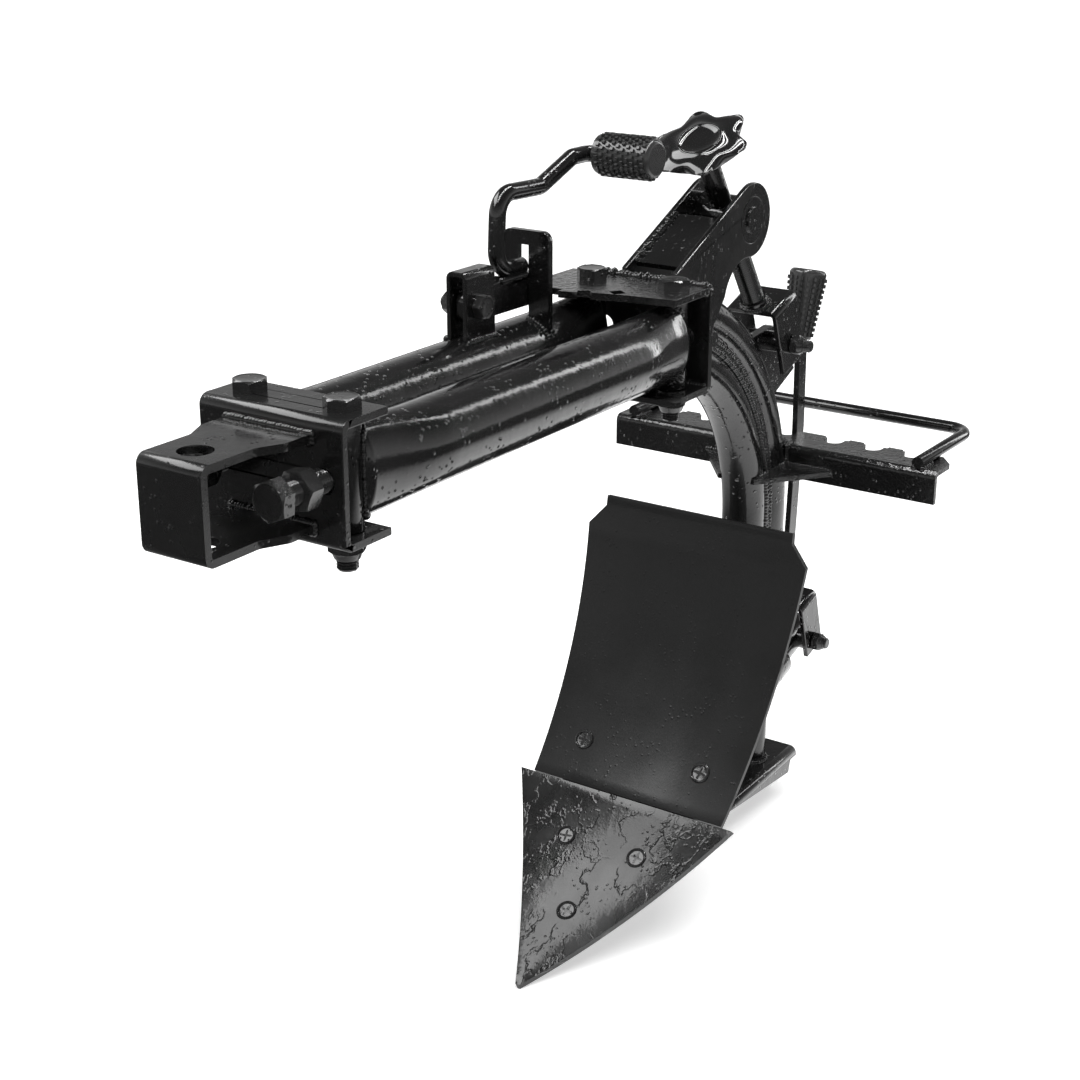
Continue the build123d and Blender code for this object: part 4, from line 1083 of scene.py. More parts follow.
    def sort(self, bolts: list[Bolt]) -> dict[bpy.types.Object, Places]:
        """Finds the shapes that some bolts need.

        Args:
            bolts: Where and what the bolts are.

        Returns:
            The place and the direction of each copy, by its shape.
        """
        stamps: dict[bpy.types.Object, Places] = {}

        def put(bolt: Bolt, along: float, sign: float, kind: str, *sizes: float) -> None:
            """Notes one copy of a shape."""
            place = (bolt.origin + bolt.axis * along, bolt.axis * sign)
            stamps.setdefault(self.shape(kind, *sizes), []).append(place)

        for bolt in bolts:
            size, (start, end) = bolt.size, bolt.shank
            put(bolt, start, 1, "bar", size.diameter, end - start)
            if bolt.head is not None:
                put(bolt, bolt.head, math.copysign(1, bolt.head), "head", size.flats, size.head)
            kind = "lock" if bolt.lock_nut else "nut"
            put(bolt, bolt.nut, math.copysign(1, bolt.nut), kind, size.flats, size.nut)
            if bolt.countersunk:
                put(bolt, 0.0, 1, "recess", *bolt.countersunk, size.diameter)
            if bolt.spacers:
                diameter, near, far = bolt.spacers
                for sign in (1, -1):
                    put(bolt, sign * near, sign, "plain", diameter, far - near)
        return stamps

    def fit(self, node: str, body: str, bolts: list[Bolt]) -> bpy.types.Object:
        """Makes the bolts that replace a node.

        Args:
            node: The node that they replace.
            body: The body that they ride on.
            bolts: Where and what the bolts are.

        Returns:
            The piece.
        """
        paint = self.finishes.material(Slot.BOLTS)
        pieces = [
            self.stamp(node + "_stamp", shape, places, paint, SEED + number)
            for number, (shape, places) in enumerate(self.sort(bolts).items())
        ]
        made = join_all(node + "_turned", pieces)
        shade(made)
        made.data.set_sharp_from_angle(angle=self.SHARP_EDGE)
        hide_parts(node)
        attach(made, body)
        log.info("%s: %d bolts", made.name, len(bolts))
        return made

    def clear(self) -> None:
        """Removes the shapes once nothing more is stamped."""
        for shape in self.shapes.values():
            bpy.data.objects.remove(shape)
        self.shapes.clear()


# Sub-assemblies --------------------------------------------------------------------------
def joint_place(name: str) -> Vector:
    """Where a joint of the record is, in mm."""
    joints = {j["name"]: j for j in frame["record"]["behaviour"]["joints"]}
    return Vector(joints[name]["pos_m"]) / MM


def joint_axis(name: str) -> Vector:
    """The direction of a joint of the record."""
    joints = {j["name"]: j for j in frame["record"]["behaviour"]["joints"]}
    return Vector(joints[name]["axis"]).normalized()


def box_mm(node: str) -> tuple[Vector, Vector]:
    """The two corners of a node's box, in mm."""
    low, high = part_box(node)
    return Vector(low) / MM, Vector(high) / MM


@dataclass
class Kit:
    """What every sub-assembly needs for its own pieces."""

    finishes: Finishes
    welder: Welder
    workshop: Workshop
    tread: TreadTree


@dataclass
class Hitch:
    """The drawbar bracket on its channel, the stop bolts and the front pivots."""

    kit: Kit
    bracket_half_height: float = 35.0
    bracket_half_width: float = 38.0
    plate: float = 6.0
    end_bead: float = 3.0
    web_x: float = -71.0
    stop_head: float = 42.5
    stop_nut: float = 14.0
    stop_tail: float = -8.0

    def build(self) -> None:
        """Makes the welds and the bolts."""
        x, half, up = self.web_x + 0.5, self.bracket_half_width, self.bracket_half_height
        seams = []
        for z in (up, -up, up - self.plate, self.plate - up):
            seams.append(straight((x, -half, z), (x, half, z), girth=3.4))
        for z in (up - self.plate / 2, self.plate / 2 - up):
            seams += both_sides((x, half, z - self.end_bead), (x, half, z + self.end_bead))
        self.kit.welder.lay("bracket_welds", "hitch", seams, seed=11)
        self.stop_bolts()
        pivots = [joint_place("left_link_swing"), joint_place("right_link_swing")]
        self.kit.workshop.fit("front_pivot_bolts", "hitch", [pivot_bolt(p) for p in pivots])

    def stop_bolts(self) -> None:
        """The two long bolts that the beam comes up against, with no corner past their box."""
        low, high = box_mm("stop_bolts")
        corner = M18.flats / 2 / math.cos(math.pi / 6)
        bolts = [
            Bolt(
                Vector((self.web_x, hand * (high.y - corner), (low.z + high.z) / 2)),
                FORWARD,
                M18,
                head=self.stop_head,
                nut=self.stop_nut,
                shank=(self.stop_tail, self.stop_head),
                lock_nut=False,
            )
            for hand in (1, -1)
        ]
        self.kit.workshop.fit("stop_bolts", "hitch", bolts)


def pivot_bolt(place: Vector, half_height: float = 46.5, tail: float = 8.0) -> Bolt:
    """An upright bolt through a channel, with its nut below.

    Args:
        place: The pivot, in mm.
        half_height: Half the channel's height.
        tail: How far the shank comes out of the nut.

    Returns:
        The bolt.
    """
    return Bolt(
        Vector((place.x, place.y, 0.0)),
        UP,
        M16,
        head=half_height,
        nut=-half_height,
        shank=(-half_height - M16.nut - tail, half_height + 1.0),
    )


@dataclass
class Beam:
    """The two tubes between their pivots, pressed flatter at their ends."""

    kit: Kit
    sleeve_radius: float = 13.0
    end_half_height: float = 35.0
    end_half_width: float = 21.0
    round_radius: float = 31.75
    inset: float = 6.0
    pressed: float = 86.0
    steps: int = 22
    around: int = 72

    def build(self) -> None:
        """Forms each tube and welds it to its sleeves."""
        front, rear = joint_place("left_link_swing"), joint_place("yoke_swing")
        for name, hand in (("left", 1), ("right", -1)):
            y = hand * abs(front.y)
            self.tube(name, front.x, rear.x, y)
            seams = [self.saddle(x, y, inward) for x, inward in ((front.x, -1), (rear.x, 1))]
            piece, body = f"{name}_sleeve_welds", f"{name}_link"
            self.kit.welder.lay(piece, body, seams, pitch=3.4, jitter=0.35, seed=23)

    def stations(self, length: float) -> list[float]:
        """Places along a tube, close together where it is pressed."""
        pressed = [self.pressed * k / self.steps for k in range(self.steps + 1)]
        run = length - 2 * self.pressed
        plain = [self.pressed + run * k / self.steps for k in range(1, self.steps)]
        return pressed + plain + [length - place for place in reversed(pressed)]

    def outline(self, place: float, length: float) -> Ring:
        """The tube's outline at a place along it: an ellipse that eases into a circle."""
        share = max(0.0, min(1.0, place / self.pressed, (length - place) / self.pressed))
        ease = share**2 * (3 - 2 * share)
        tall = self.end_half_height + (self.round_radius - self.end_half_height) * ease
        wide = self.end_half_width + (self.round_radius - self.end_half_width) * ease
        ring = []
        for step in range(self.around):
            angle = math.tau * step / self.around
            reach = tall * wide / math.hypot(wide * math.cos(angle), tall * math.sin(angle))
            ring.append((reach, place))
        return ring

    def tube(self, name: str, front_x: float, rear_x: float, y: float) -> None:
        """Makes a tube's even skin.

        Args:
            name: The side's name.
            front_x: The front pivot's place along the plough.
            rear_x: The rear pivot's place along the plough.
            y: The tube's place across the plough.
        """
        start = rear_x + self.inset
        length = front_x - self.inset - start
        rings = [self.outline(place, length) for place in self.stations(length)]
        mesh = polar_mesh(f"{name}_tube_skin", rings)
        turn = Matrix(((0, 0, 1), (0, 1, 0), (-1, 0, 0))).to_4x4()
        mesh.transform(Matrix.Translation(Vector((start, y, 0.0)) * MM) @ turn)
        made = link(mesh.name, mesh)
        mesh.materials.append(self.kit.finishes.material(Slot.PAINT))
        shade(made)
        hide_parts(f"{name}_beam_tube")
        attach(made, f"{name}_link")

    def saddle(self, x: float, y: float, inward: int) -> Seam:
        """The seam where a pressed tube end meets its sleeve.

        Args:
            x: The pivot's place along the plough.
            y: The pivot's place across the plough.
            inward: The side, along X, on which the tube lies.

        Returns:
            The closed seam.
        """
        radius = self.sleeve_radius + 0.5
        reach = math.asin(math.sqrt(radius**2 - self.inset**2) / radius)
        points, half = [], 8
        for turn in (1, -1):
            for step in range(-half, half + 1):
                angle = turn * reach * step / half
                across = radius * math.sin(angle)
                height = math.sqrt(1 - (across / self.end_half_width) ** 2)
                along = inward * radius * math.cos(angle)
                points.append(Vector((x + along, y + across, turn * self.end_half_height * height)))
        return Seam(points, girth=2.9, closed=True)


@dataclass
class WidthLever:
    """The lever's bracket and guide on the right tube, and the lever's rod and grip."""

    kit: Kit
    tube_radius: float = 31.75
    bracket: tuple[float, float] = (-20.0, 15.0)
    bracket_half_width: float = 10.0
    guide_back: float = 79.0
    guide_half: float = 3.5
    guide_foot: tuple[float, float] = (5.45, 25.45)
    arm_top: float = 69.0
    rod_run: tuple[float, float] = (-73.0, -40.0)
    rod_side: float = 4.2
    pin_tail: float = 4.0
    grip_radius: float = 16.5
    grip_margin: float = 3.0

    def __post_init__(self) -> None:
        """Finds the lever's pivot and the tube below it."""
        self.pivot = joint_place("width_lever_lift")
        self.tube_y = joint_place("right_link_swing").y

    def build(self) -> None:
        """Makes the welds, the pivot bolt and the grip's tread."""
        seams = self.bracket_seams() + self.guide_seams()
        self.kit.welder.lay("lever_bracket_welds", "right_link", seams, jitter=0.3, seed=31)
        start, end = (self.pivot.x + x for x in self.rod_run)
        rod = []
        for side in (self.rod_side, -self.rod_side):
            y = self.pivot.y + side
            rod.append(straight((start, y, self.arm_top), (end, y, self.arm_top), girth=3.0))
        self.kit.welder.lay("lever_rod_welds", "width_lever", rod, seed=32)
        self.bolt()
        self.grip()

    def on_tube(self, x: float, y: float) -> Vector:
        """A place on top of the right tube."""
        return Vector((x, y, math.sqrt(self.tube_radius**2 - (y - self.tube_y) ** 2)))

    def bracket_seams(self) -> list[Seam]:
        """The seams along the bracket's two sides."""
        start, end = (self.pivot.x + x for x in self.bracket)
        seams = []
        for hand in (1, -1):
            y = self.pivot.y + hand * (self.bracket_half_width + 1.0)
            seams.append(Seam([self.on_tube(start, y), self.on_tube(end, y)], girth=3.4))
        return seams

    def guide_seams(self) -> list[Seam]:
        """The seams before and behind the guide's foot, round the tube."""
        near, far = self.guide_foot
        steps, seams = 8, []
        for side in (-self.guide_half, self.guide_half):
            x = self.pivot.x - self.guide_back + side
            ys = [self.pivot.y + near + (far - near) * step / steps for step in range(steps + 1)]
            seams.append(Seam([self.on_tube(x, y) for y in ys]))
        return seams

    def bolt(self) -> None:
        """The bolt that the lever turns on."""
        half = self.bracket_half_width
        shank = (-half - M12.nut - self.pin_tail, half + 1.0)
        bolt = Bolt(self.pivot, LEFT, M12, head=half, nut=-half, shank=shank, lock_nut=False)
        self.kit.workshop.fit("lever_pivot_bolt", "right_link", [bolt])

    def grip(self) -> None:
        """The brick tread round the rubber grip."""
        low, high = box_mm("lever_grip")
        middle = (low + high) / 2
        length = high.y - low.y - 2 * self.grip_margin
        tread = Tread(columns=20, rows=10, length=length, stagger=0.5, pad=(2.2, 3.3, 3.4))
        foot = Vector((middle.x, low.y + self.grip_margin, middle.z))
        place = Matrix.Translation(foot * MM) @ Matrix.Rotation(math.radians(-90), 4, "X")
        radius = self.grip_radius
        tread.wrap(self.kit, "lever_grip_tread", radius, radius, place, "width_lever")


@dataclass(frozen=True)
class Tread:
    """How a grip's small pads lie, in mm."""

    columns: int
    rows: int
    length: float
    stagger: float
    pad: tuple[float, float, float]

    def wrap(
        self, kit: Kit, name: str, foot: float, top: float, place: Matrix, body: str
    ) -> None:
        """Makes the pads round a grip.

        Args:
            kit: The trees and the finishes.
            name: The piece's name.
            foot: The grip's radius at its foot, in mm.
            top: The grip's radius at its end, in mm.
            place: Where the grip's foot is and how it stands.
            body: The body that it rides on.
        """
        pad = link("shape_pad", pad_mesh())
        base = bpy.data.meshes.new("grip_base")
        made = kit.tread.bake(
            name,
            base,
            Foot_Radius=foot * MM,
            Top_Radius=top * MM,
            Length=self.length * MM,
            Columns=self.columns,
            Rows=self.rows,
            Stagger=self.stagger,
            Pad=self.pad,
            Shape=pad,
            Material=kit.finishes.material(Slot.RUBBER),
        )
        bpy.data.objects.remove(pad)
        made.data.transform(place)
        shade(made, False)
        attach(made, body)
        log.info("%s: %d pads", name, self.columns * self.rows)


def pad_mesh() -> bpy.types.Mesh:
    """A unit pad, in mm, that stands half out along X with sloping sides."""
    corners = ((-0.5, -0.5), (0.5, -0.5), (0.5, 0.5), (-0.5, 0.5))
    foot = [(-1.0, y, z) for y, z in corners]
    face = [(1.0, y * 0.72, z * 0.78) for y, z in corners]
    sides = [(k, (k + 1) % 4, 4 + (k + 1) % 4, 4 + k) for k in range(4)]
    mesh = bpy.data.meshes.new("shape_pad")
    points = [Vector(p) * MM for p in foot + face]
    mesh.from_pydata(points, [], [(3, 2, 1, 0), (4, 5, 6, 7), *sides])
    mesh.update()
    return mesh


@dataclass
class Yoke:
    """The plates behind the beam and the cheeks that carry the standard."""

    kit: Kit
    back_x: float = -562.0
    plate: float = 6.0
    half_width: float = 65.0
    half_height: float = 46.5
    # The rough beads on the top plate: how far behind its front and below its top they are,
    # how far they stop short on the right and on the left, and their girth.
    top_beads: tuple[tuple[float, ...], ...] = (
        (1.0, 0.0, 2.0, 2.0, 4.4),
        (4.0, 0.5, 8.0, 30.0, 3.4),
    )
    cheek_y: float = 28.0
    cheek_foot: float = -33.0
    gap_y: float = 23.0
    foot_z: float = 52.0
    cover_run: tuple[float, float] = (17.0, 89.0)
    cover_depth: float = 3.5
    edge_radius: float = 34.0
    pin_tail: float = 4.0

    def build(self) -> None:
        """Makes the welds and the bolts."""
        x, wide, high = self.back_x, self.half_width, self.half_height
        rough = [
            straight((x - back, right - wide, high - drop), (x - back, wide - left, high - drop), girth)
            for back, drop, right, left, girth in self.top_beads
        ]
        self.kit.welder.lay("top_plate_welds", "yoke", rough, pitch=3.4, jitter=0.4, seed=41)
        seams = [straight((x, 2 - wide, -high), (x, wide - 2, -high), girth=3.4)]
        behind = x - self.plate
        for z in (self.plate - high, high - self.plate):
            seams.append(straight((x, 3 - wide, z), (x, wide - 3, z), girth=3.0))
        foot, top = (behind, self.cheek_y, self.cheek_foot), (behind, self.cheek_y, high - 2)
        seams += both_sides(foot, top, girth=3.8)
        self.kit.welder.lay("cheek_welds", "yoke", seams, seed=42)
        self.cover_welds()
        self.bolts()

    def cover_welds(self) -> None:
        """The neat fillet on the left of the cover and the rough one on its right."""
        foot = Vector((self.back_x - self.plate, 0.0, self.foot_z))
        reach = joint_place("trunnion_turn") - foot
        reach.y = 0.0
        lift = math.asin(self.edge_radius / reach.length)
        along = (Matrix.Rotation(lift, 3, "Y") @ reach).normalized()
        into = Vector((-along.z, 0.0, along.x))
        into = into if into.z < 0 else -into
        start, end = (foot + along * run + into * self.cover_depth for run in self.cover_run)
        for name, hand, girth, pitch, jitter in (
            ("cover_fillet", 1, 2.4, 1.8, 0.08),
            ("cover_blobs", -1, 3.6, 3.6, 0.45),
        ):
            side = LEFT * (hand * self.gap_y)
            seam = Seam([start + side, end + side], girth)
            self.kit.welder.lay(name, "yoke", [seam], pitch, jitter, seed=43)

    def bolts(self) -> None:
        """The bolts at the links' rear ends and the standard's pivot."""
        left = joint_place("yoke_swing")
        places = [Vector((left.x, hand * abs(left.y), 0.0)) for hand in (1, -1)]
        ends = [pivot_bolt(place, self.half_height) for place in places]
        self.kit.workshop.fit("rear_pivot_bolts", "yoke", ends)
        face = self.cheek_y
        shank = (-face - 1.0, face + M16.nut + self.pin_tail)
        pivot = Bolt(joint_place("standard_pitch"), LEFT, M16, head=-face, nut=face, shank=shank)
        self.kit.workshop.fit("standard_pivot_bolt", "yoke", [pivot])


@dataclass(frozen=True)
class StarKnob:
    """The six-lobed star knob with a ring round its cap, in mm along the screw."""

    lobes: int = 6
    count: int = 96
    middle_radius: float = 39.8
    lobe_reach: float = 5.4
    foot_radius: float = 16.0
    flare: float = 1.55
    thick: float = 24.0
    shoulder: float = 1.2
    doming: float = 4.2

    def dome(self, radius: float) -> float:
        """The height of the domed top at a radius."""
        rim = self.middle_radius + self.lobe_reach
        return self.thick - self.shoulder - self.doming * (radius / rim) ** 3

    def under(self, radius: float) -> float:
        """The height of the cone beneath at a radius."""
        return (radius - self.foot_radius) / self.flare

    def rings(self) -> list[Ring]:
        """The knob's rings, from its foot round its rim to the middle of its cap."""
        outline = [
            self.middle_radius + self.lobe_reach * math.cos(self.lobes * math.tau * k / self.count)
            for k in range(self.count)
        ]
        foot, dome, under, crown = self.foot_radius, self.dome, self.under, self.thick
        shaped = [
            [((foot + r) / 2, under((foot + r) / 2)) for r in outline],
            [(r - 3.0, under(r - 3.0)) for r in outline],
            [(r - 0.9, under(r) + 0.6) for r in outline],
            [(r, 0.55 * under(r) + 0.45 * dome(r)) for r in outline],
            [(r - 0.9, dome(r) - 1.6) for r in outline],
            [(r - 3.2, dome(r - 3.2) - 0.3) for r in outline],
            [(0.5 * r + 9.0, dome(0.5 * r + 9.0)) for r in outline],
        ]
        ridge = [(20.6, crown - 0.4), (19.6, crown), (18.6, crown - 0.4)]
        cap = [(17.8, crown - 1.4), (9.0, crown - 1.3)]
        turned = round_rings([(22.0, dome(22.0)), *ridge, *cap], self.count)
        return round_rings([(foot, 0.0)], self.count) + shaped + turned


@dataclass
class DepthScrew:
    """The trunnion, the screw with its knob and its lower clevis."""

    kit: Kit
    star: StarKnob = StarKnob()
    lean: float = math.radians(20.0)
    clevis_height: float = 49.0
    collar_radius: float = 13.0
    screw_radius: float = 10.0
    thread_start: float = 61.0
    thread_pitch: float = 2.5
    knob_reach: float = 235.5
    # The beads in the middle of the trunnion's ends: their girth and how far out they are.
    end_beads: tuple[tuple[float, float], ...] = ((1.8, 28.0), (1.2, 30.0), (1.3, 30.0))

    def __post_init__(self) -> None:
        """Finds the trunnion's middle, the screw's direction and its lower eye."""
        self.barrel = joint_place("trunnion_turn")
        self.axis = joint_axis("screw_travel")
        low, high = box_mm("clevis_bolt")
        self.eye = Vector(((low.x + high.x) / 2, 0.0, (low.z + high.z) / 2))

    def build(self) -> None:
        """Makes the trunnion's beads, the thread, the weld and the knob."""
        seams = []
        for hand in (1, -1):
            for girth, out in self.end_beads:
                place = self.barrel + LEFT * (hand * out)
                seams.append(Seam([place] * 3, girth, closed=True))
        self.kit.welder.lay("trunnion_rings", "trunnion", seams, pitch=0.9, jitter=0.05, seed=51)
        normal = Vector((math.sin(self.lean), 0.0, math.cos(self.lean)))
        top = self.eye + normal * self.clevis_height
        collar = ring_on_plane(self.eye, self.axis, self.collar_radius, top, normal, girth=3.0)
        self.kit.welder.lay("collar_weld", "screw", [collar], seed=52)
        self.thread()
        self.knob()

    def thread(self) -> None:
        """The screw's thread between its collar and the trunnion."""
        workshop = self.kit.workshop
        start, pitch = self.thread_start, self.thread_pitch
        count = int(((self.barrel - self.eye).length - start) / pitch)
        places = [(self.eye + self.axis * (start + pitch * k), self.axis) for k in range(count)]
        ridge = workshop.shape("ridge", self.screw_radius)
        made = workshop.stamp("screw_thread", ridge, places, self.kit.finishes.material(Slot.PAINT))
        shade(made)
        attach(made, "screw")

    def knob(self) -> None:
        """The star knob on the screw's end."""
        mesh = polar_mesh("star_knob_moulded", self.star.rings())
        turn = Matrix((LEFT, self.axis.cross(LEFT), self.axis)).transposed().to_4x4()
        foot = self.eye + self.axis * self.knob_reach
        mesh.transform(Matrix.Translation(foot * MM) @ turn)
        made = link("star_knob_moulded", mesh)
        mesh.materials.append(self.kit.finishes.material(Slot.PLASTIC))
        shade(made)
        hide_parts("star_knob")
        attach(made, "screw")
        log.info("star_knob_moulded: %d faces", len(mesh.polygons))


@dataclass(frozen=True)
class TubeBead:
    """A pair of beads down the valleys between the standard's tubes, in mm."""

    name: str
    y: float
    shifts: tuple[float, ...]
    top_angle: int
    foot: float
    girth: float
    pitch: float
    jitter: float
    seed: int


@dataclass
class Standard:
    """The two curved tubes, the comb, the guard, the boss and the sole."""

    kit: Kit
    tube_radius: float = 21.0
    front_arc: float = 202.0
    arc_step: float = 43.5
    pivot_lean: float = math.radians(12.1)
    boss_radius: float = 22.0
    boss_z: float = -427.6
    boss_back: float = 10.4
    stay_radius: float = 14.0
    stay_back: float = 7.9
    sole_front: tuple[float, float, float] = (102.0, 0.0, -92.4)
    sole_pitch: float = math.radians(3.3)
    comb_top: float = -165.5
    gusset_top: float = -184.0
    gusset_run: tuple[float, float] = (24.0, 70.0)
    guard_radius: float = 6.0
    guard_side: float = 4.5
    guard_run: tuple[float, float] = (26.0, 3.0)
    lug_half: float = 5.0
    lug_angles: tuple[float, float] = (25.5, 46.5)
    beads: tuple[TubeBead, ...] = (
        TubeBead("long_beads", 11.0, (0.0,), 72, 25.0, 7.0, 4.4, 0.08, 61),
        TubeBead("long_bead_edges", 15.0, (-4.4, 4.4), 71, 27.0, 3.4, 3.4, 0.16, 62),
    )

    def __post_init__(self) -> None:
        """Places the arcs, the tubes and the boss from the pivot."""
        pivot = joint_place("standard_pitch")
        lean = Vector((math.sin(self.pivot_lean), 0, -math.cos(self.pivot_lean)))
        self.middle = self.front_arc + self.arc_step / 2
        self.arc = pivot + lean * self.middle
        self.front_x = self.arc.x - self.front_arc
        self.rear_x = self.front_x - self.arc_step
        self.back = joint_axis("body_turn")
        boss_x = (self.front_x + self.rear_x) / 2 - self.boss_back
        self.boss = Vector((boss_x, 0.0, self.boss_z))
        self.comb_low, self.comb_high = box_mm("comb_bar")

    def on_arc(self, radius: float, degrees: float, y: float = 0.0) -> Vector:
        """A place about the arc's centre, by angle above the rear."""
        angle = math.radians(degrees)
        return self.arc + Vector((-radius * math.cos(angle), y, radius * math.sin(angle)))

    def round_tube(
        self, x: float, z: float, start: float, sweep: float, steps: int, hand: int, girth: float
    ) -> Seam:
        """A level seam round a part of a tube.

        Args:
            x: The tube's place along the plough.
            z: The seam's height.
            start: The first angle, from +X, in radians.
            sweep: How far the seam goes round, in radians.
            steps: How many runs the seam has.
            hand: 1 for the left side first, -1 for the right.
            girth: The bead's radius.

        Returns:
            The seam.
        """
        points = []
        for step in range(steps + 1):
            angle = start + sweep * step / steps
            y = hand * self.tube_radius * math.sin(angle)
            points.append(Vector((x + self.tube_radius * math.cos(angle), y, z)))
        return Seam(points, girth)

    def build(self) -> None:
        """Makes the welds and the clevis bolt."""
        for bead in self.beads:
            self.long_bead(bead)
        seams = self.lug_seams() + self.comb_seams() + self.gusset_seams() + self.guard_seams()
        self.kit.welder.lay("comb_welds", "standard", seams, jitter=0.25, seed=63)
        self.boss_and_sole()
        self.clevis_bolt()

    def long_bead(self, bead: TubeBead) -> None:
        """One pair of the long beads, down the arc and on to the boss."""
        seams = []
        for hand in (1, -1):
            for shift in bead.shifts:
                y, radius = hand * bead.y, self.middle + shift
                points = [self.on_arc(radius, angle, y) for angle in range(bead.top_angle, -1, -3)]
                points.append(Vector((points[-1].x, y, self.boss_z + bead.foot)))
                seams.append(Seam(points, bead.girth))
        self.kit.welder.lay(bead.name, "standard", seams, bead.pitch, bead.jitter, bead.seed)

    def lug_seams(self) -> list[Seam]:
        """The seams on both sides of the screw's lug."""
        reach = self.front_arc + self.arc_step + math.sqrt(self.tube_radius**2 - self.lug_half**2)
        low, high = self.lug_angles
        steps = 8
        angles = [low + (high - low) * k / steps for k in range(steps + 1)]
        return [
            Seam([self.on_arc(reach, angle, hand * self.lug_half) for angle in angles], girth=3.4)
            for hand in (1, -1)
        ]

    def comb_seams(self) -> list[Seam]:
        """The seams of the comb against the rear tube, in front and on top."""
        face = self.comb_high.x
        half = math.sqrt(self.tube_radius**2 - (self.rear_x - face) ** 2)
        seams = both_sides((face, half, self.comb_low.z + 2), (face, half, self.comb_top))
        turn = math.acos((face - self.rear_x) / self.tube_radius)
        sweep = math.tau - 2 * turn
        seams.append(self.round_tube(self.rear_x, self.comb_top, turn, sweep, 16, 1, 3.2))
        return seams

    def gusset_seams(self) -> list[Seam]:
        """The seams of the gussets round both tubes and along the comb."""
        start, sweep = math.radians(38), math.radians(104)
        seams = [
            self.round_tube(x, self.gusset_top, start, sweep, 12, hand, 3.0)
            for x in (self.front_x, self.rear_x)
            for hand in (1, -1)
        ]
        inner, outer = ((self.comb_high.x, y, self.gusset_top) for y in self.gusset_run)
        return seams + both_sides(inner, outer, girth=3.0)

    def guard_seams(self) -> list[Seam]:
        """The seams on both sides of the guard's feet."""
        _, guard_high = box_mm("guard_rod")
        rod_y, z = guard_high.y - self.guard_radius, self.comb_top + 0.5
        back, front = (self.comb_high.x - run for run in self.guard_run)
        seams = []
        for y in (rod_y - self.guard_side, rod_y + self.guard_side):
            seams += both_sides((back, y, z), (front, y, z), girth=2.6)
        return seams

    def boss_and_sole(self) -> None:
        """The welds of the tubes and the sole's stay to the boss, and of the stay to the sole."""
        slope, level = self.back.z, -self.back.x
        stay_x = self.boss.x - self.stay_back
        seams, steps = [], 48
        for bar_x, radius, above in (
            (self.front_x, self.tube_radius, 1),
            (self.rear_x, self.tube_radius, 1),
            (stay_x, self.stay_radius, -1),
        ):
            points = []
            for step in range(steps):
                angle = math.tau * step / steps
                x, y = bar_x + radius * math.cos(angle), radius * math.sin(angle)
                rise = above * math.sqrt(self.boss_radius**2 - y**2)
                z = self.boss.z + (rise - (x - self.boss.x) * slope) / level
                points.append(Vector((x, y, z)))
            seams.append(Seam(points, girth=3.4, closed=True))
        normal = Vector((math.sin(self.sole_pitch), 0.0, math.cos(self.sole_pitch)))
        front = self.boss + Vector(self.sole_front)
        stay = Vector((stay_x, 0.0, 0.0))
        seams.append(ring_on_plane(stay, UP, self.stay_radius, front, normal, girth=3.4))
        self.kit.welder.lay("boss_welds", "standard", seams, pitch=2.8, seed=64)

    def clevis_bolt(self) -> None:
        """The bolt through the lug and the screw's clevis."""
        low, high = box_mm("clevis_bolt")
        eye = Vector(((low.x + high.x) / 2, 0.0, (low.z + high.z) / 2))
        bolt = clevis_pin(eye, shank_end=48.0, spacers=(20.0, 5.0, 22.0))
        self.kit.workshop.fit("clevis_bolt", "standard", [bolt])


def clevis_pin(
    eye: Vector,
    shank_end: float,
    spacers: tuple[float, float, float],
    half_width: float = 29.0,
) -> Bolt:
    """A bolt across a clevis, with a spacer on each side of the middle.

    Args:
        eye: The bolt's middle, in mm.
        shank_end: How far the shank goes to the left.
        spacers: Their diameter, and how far out they start and end.
        half_width: Half the clevis's width.

    Returns:
        The bolt.
    """
    shank = (-half_width - 1.0, shank_end)
    return Bolt(eye, LEFT, M12, head=-half_width, nut=half_width, shank=shank, spacers=spacers)


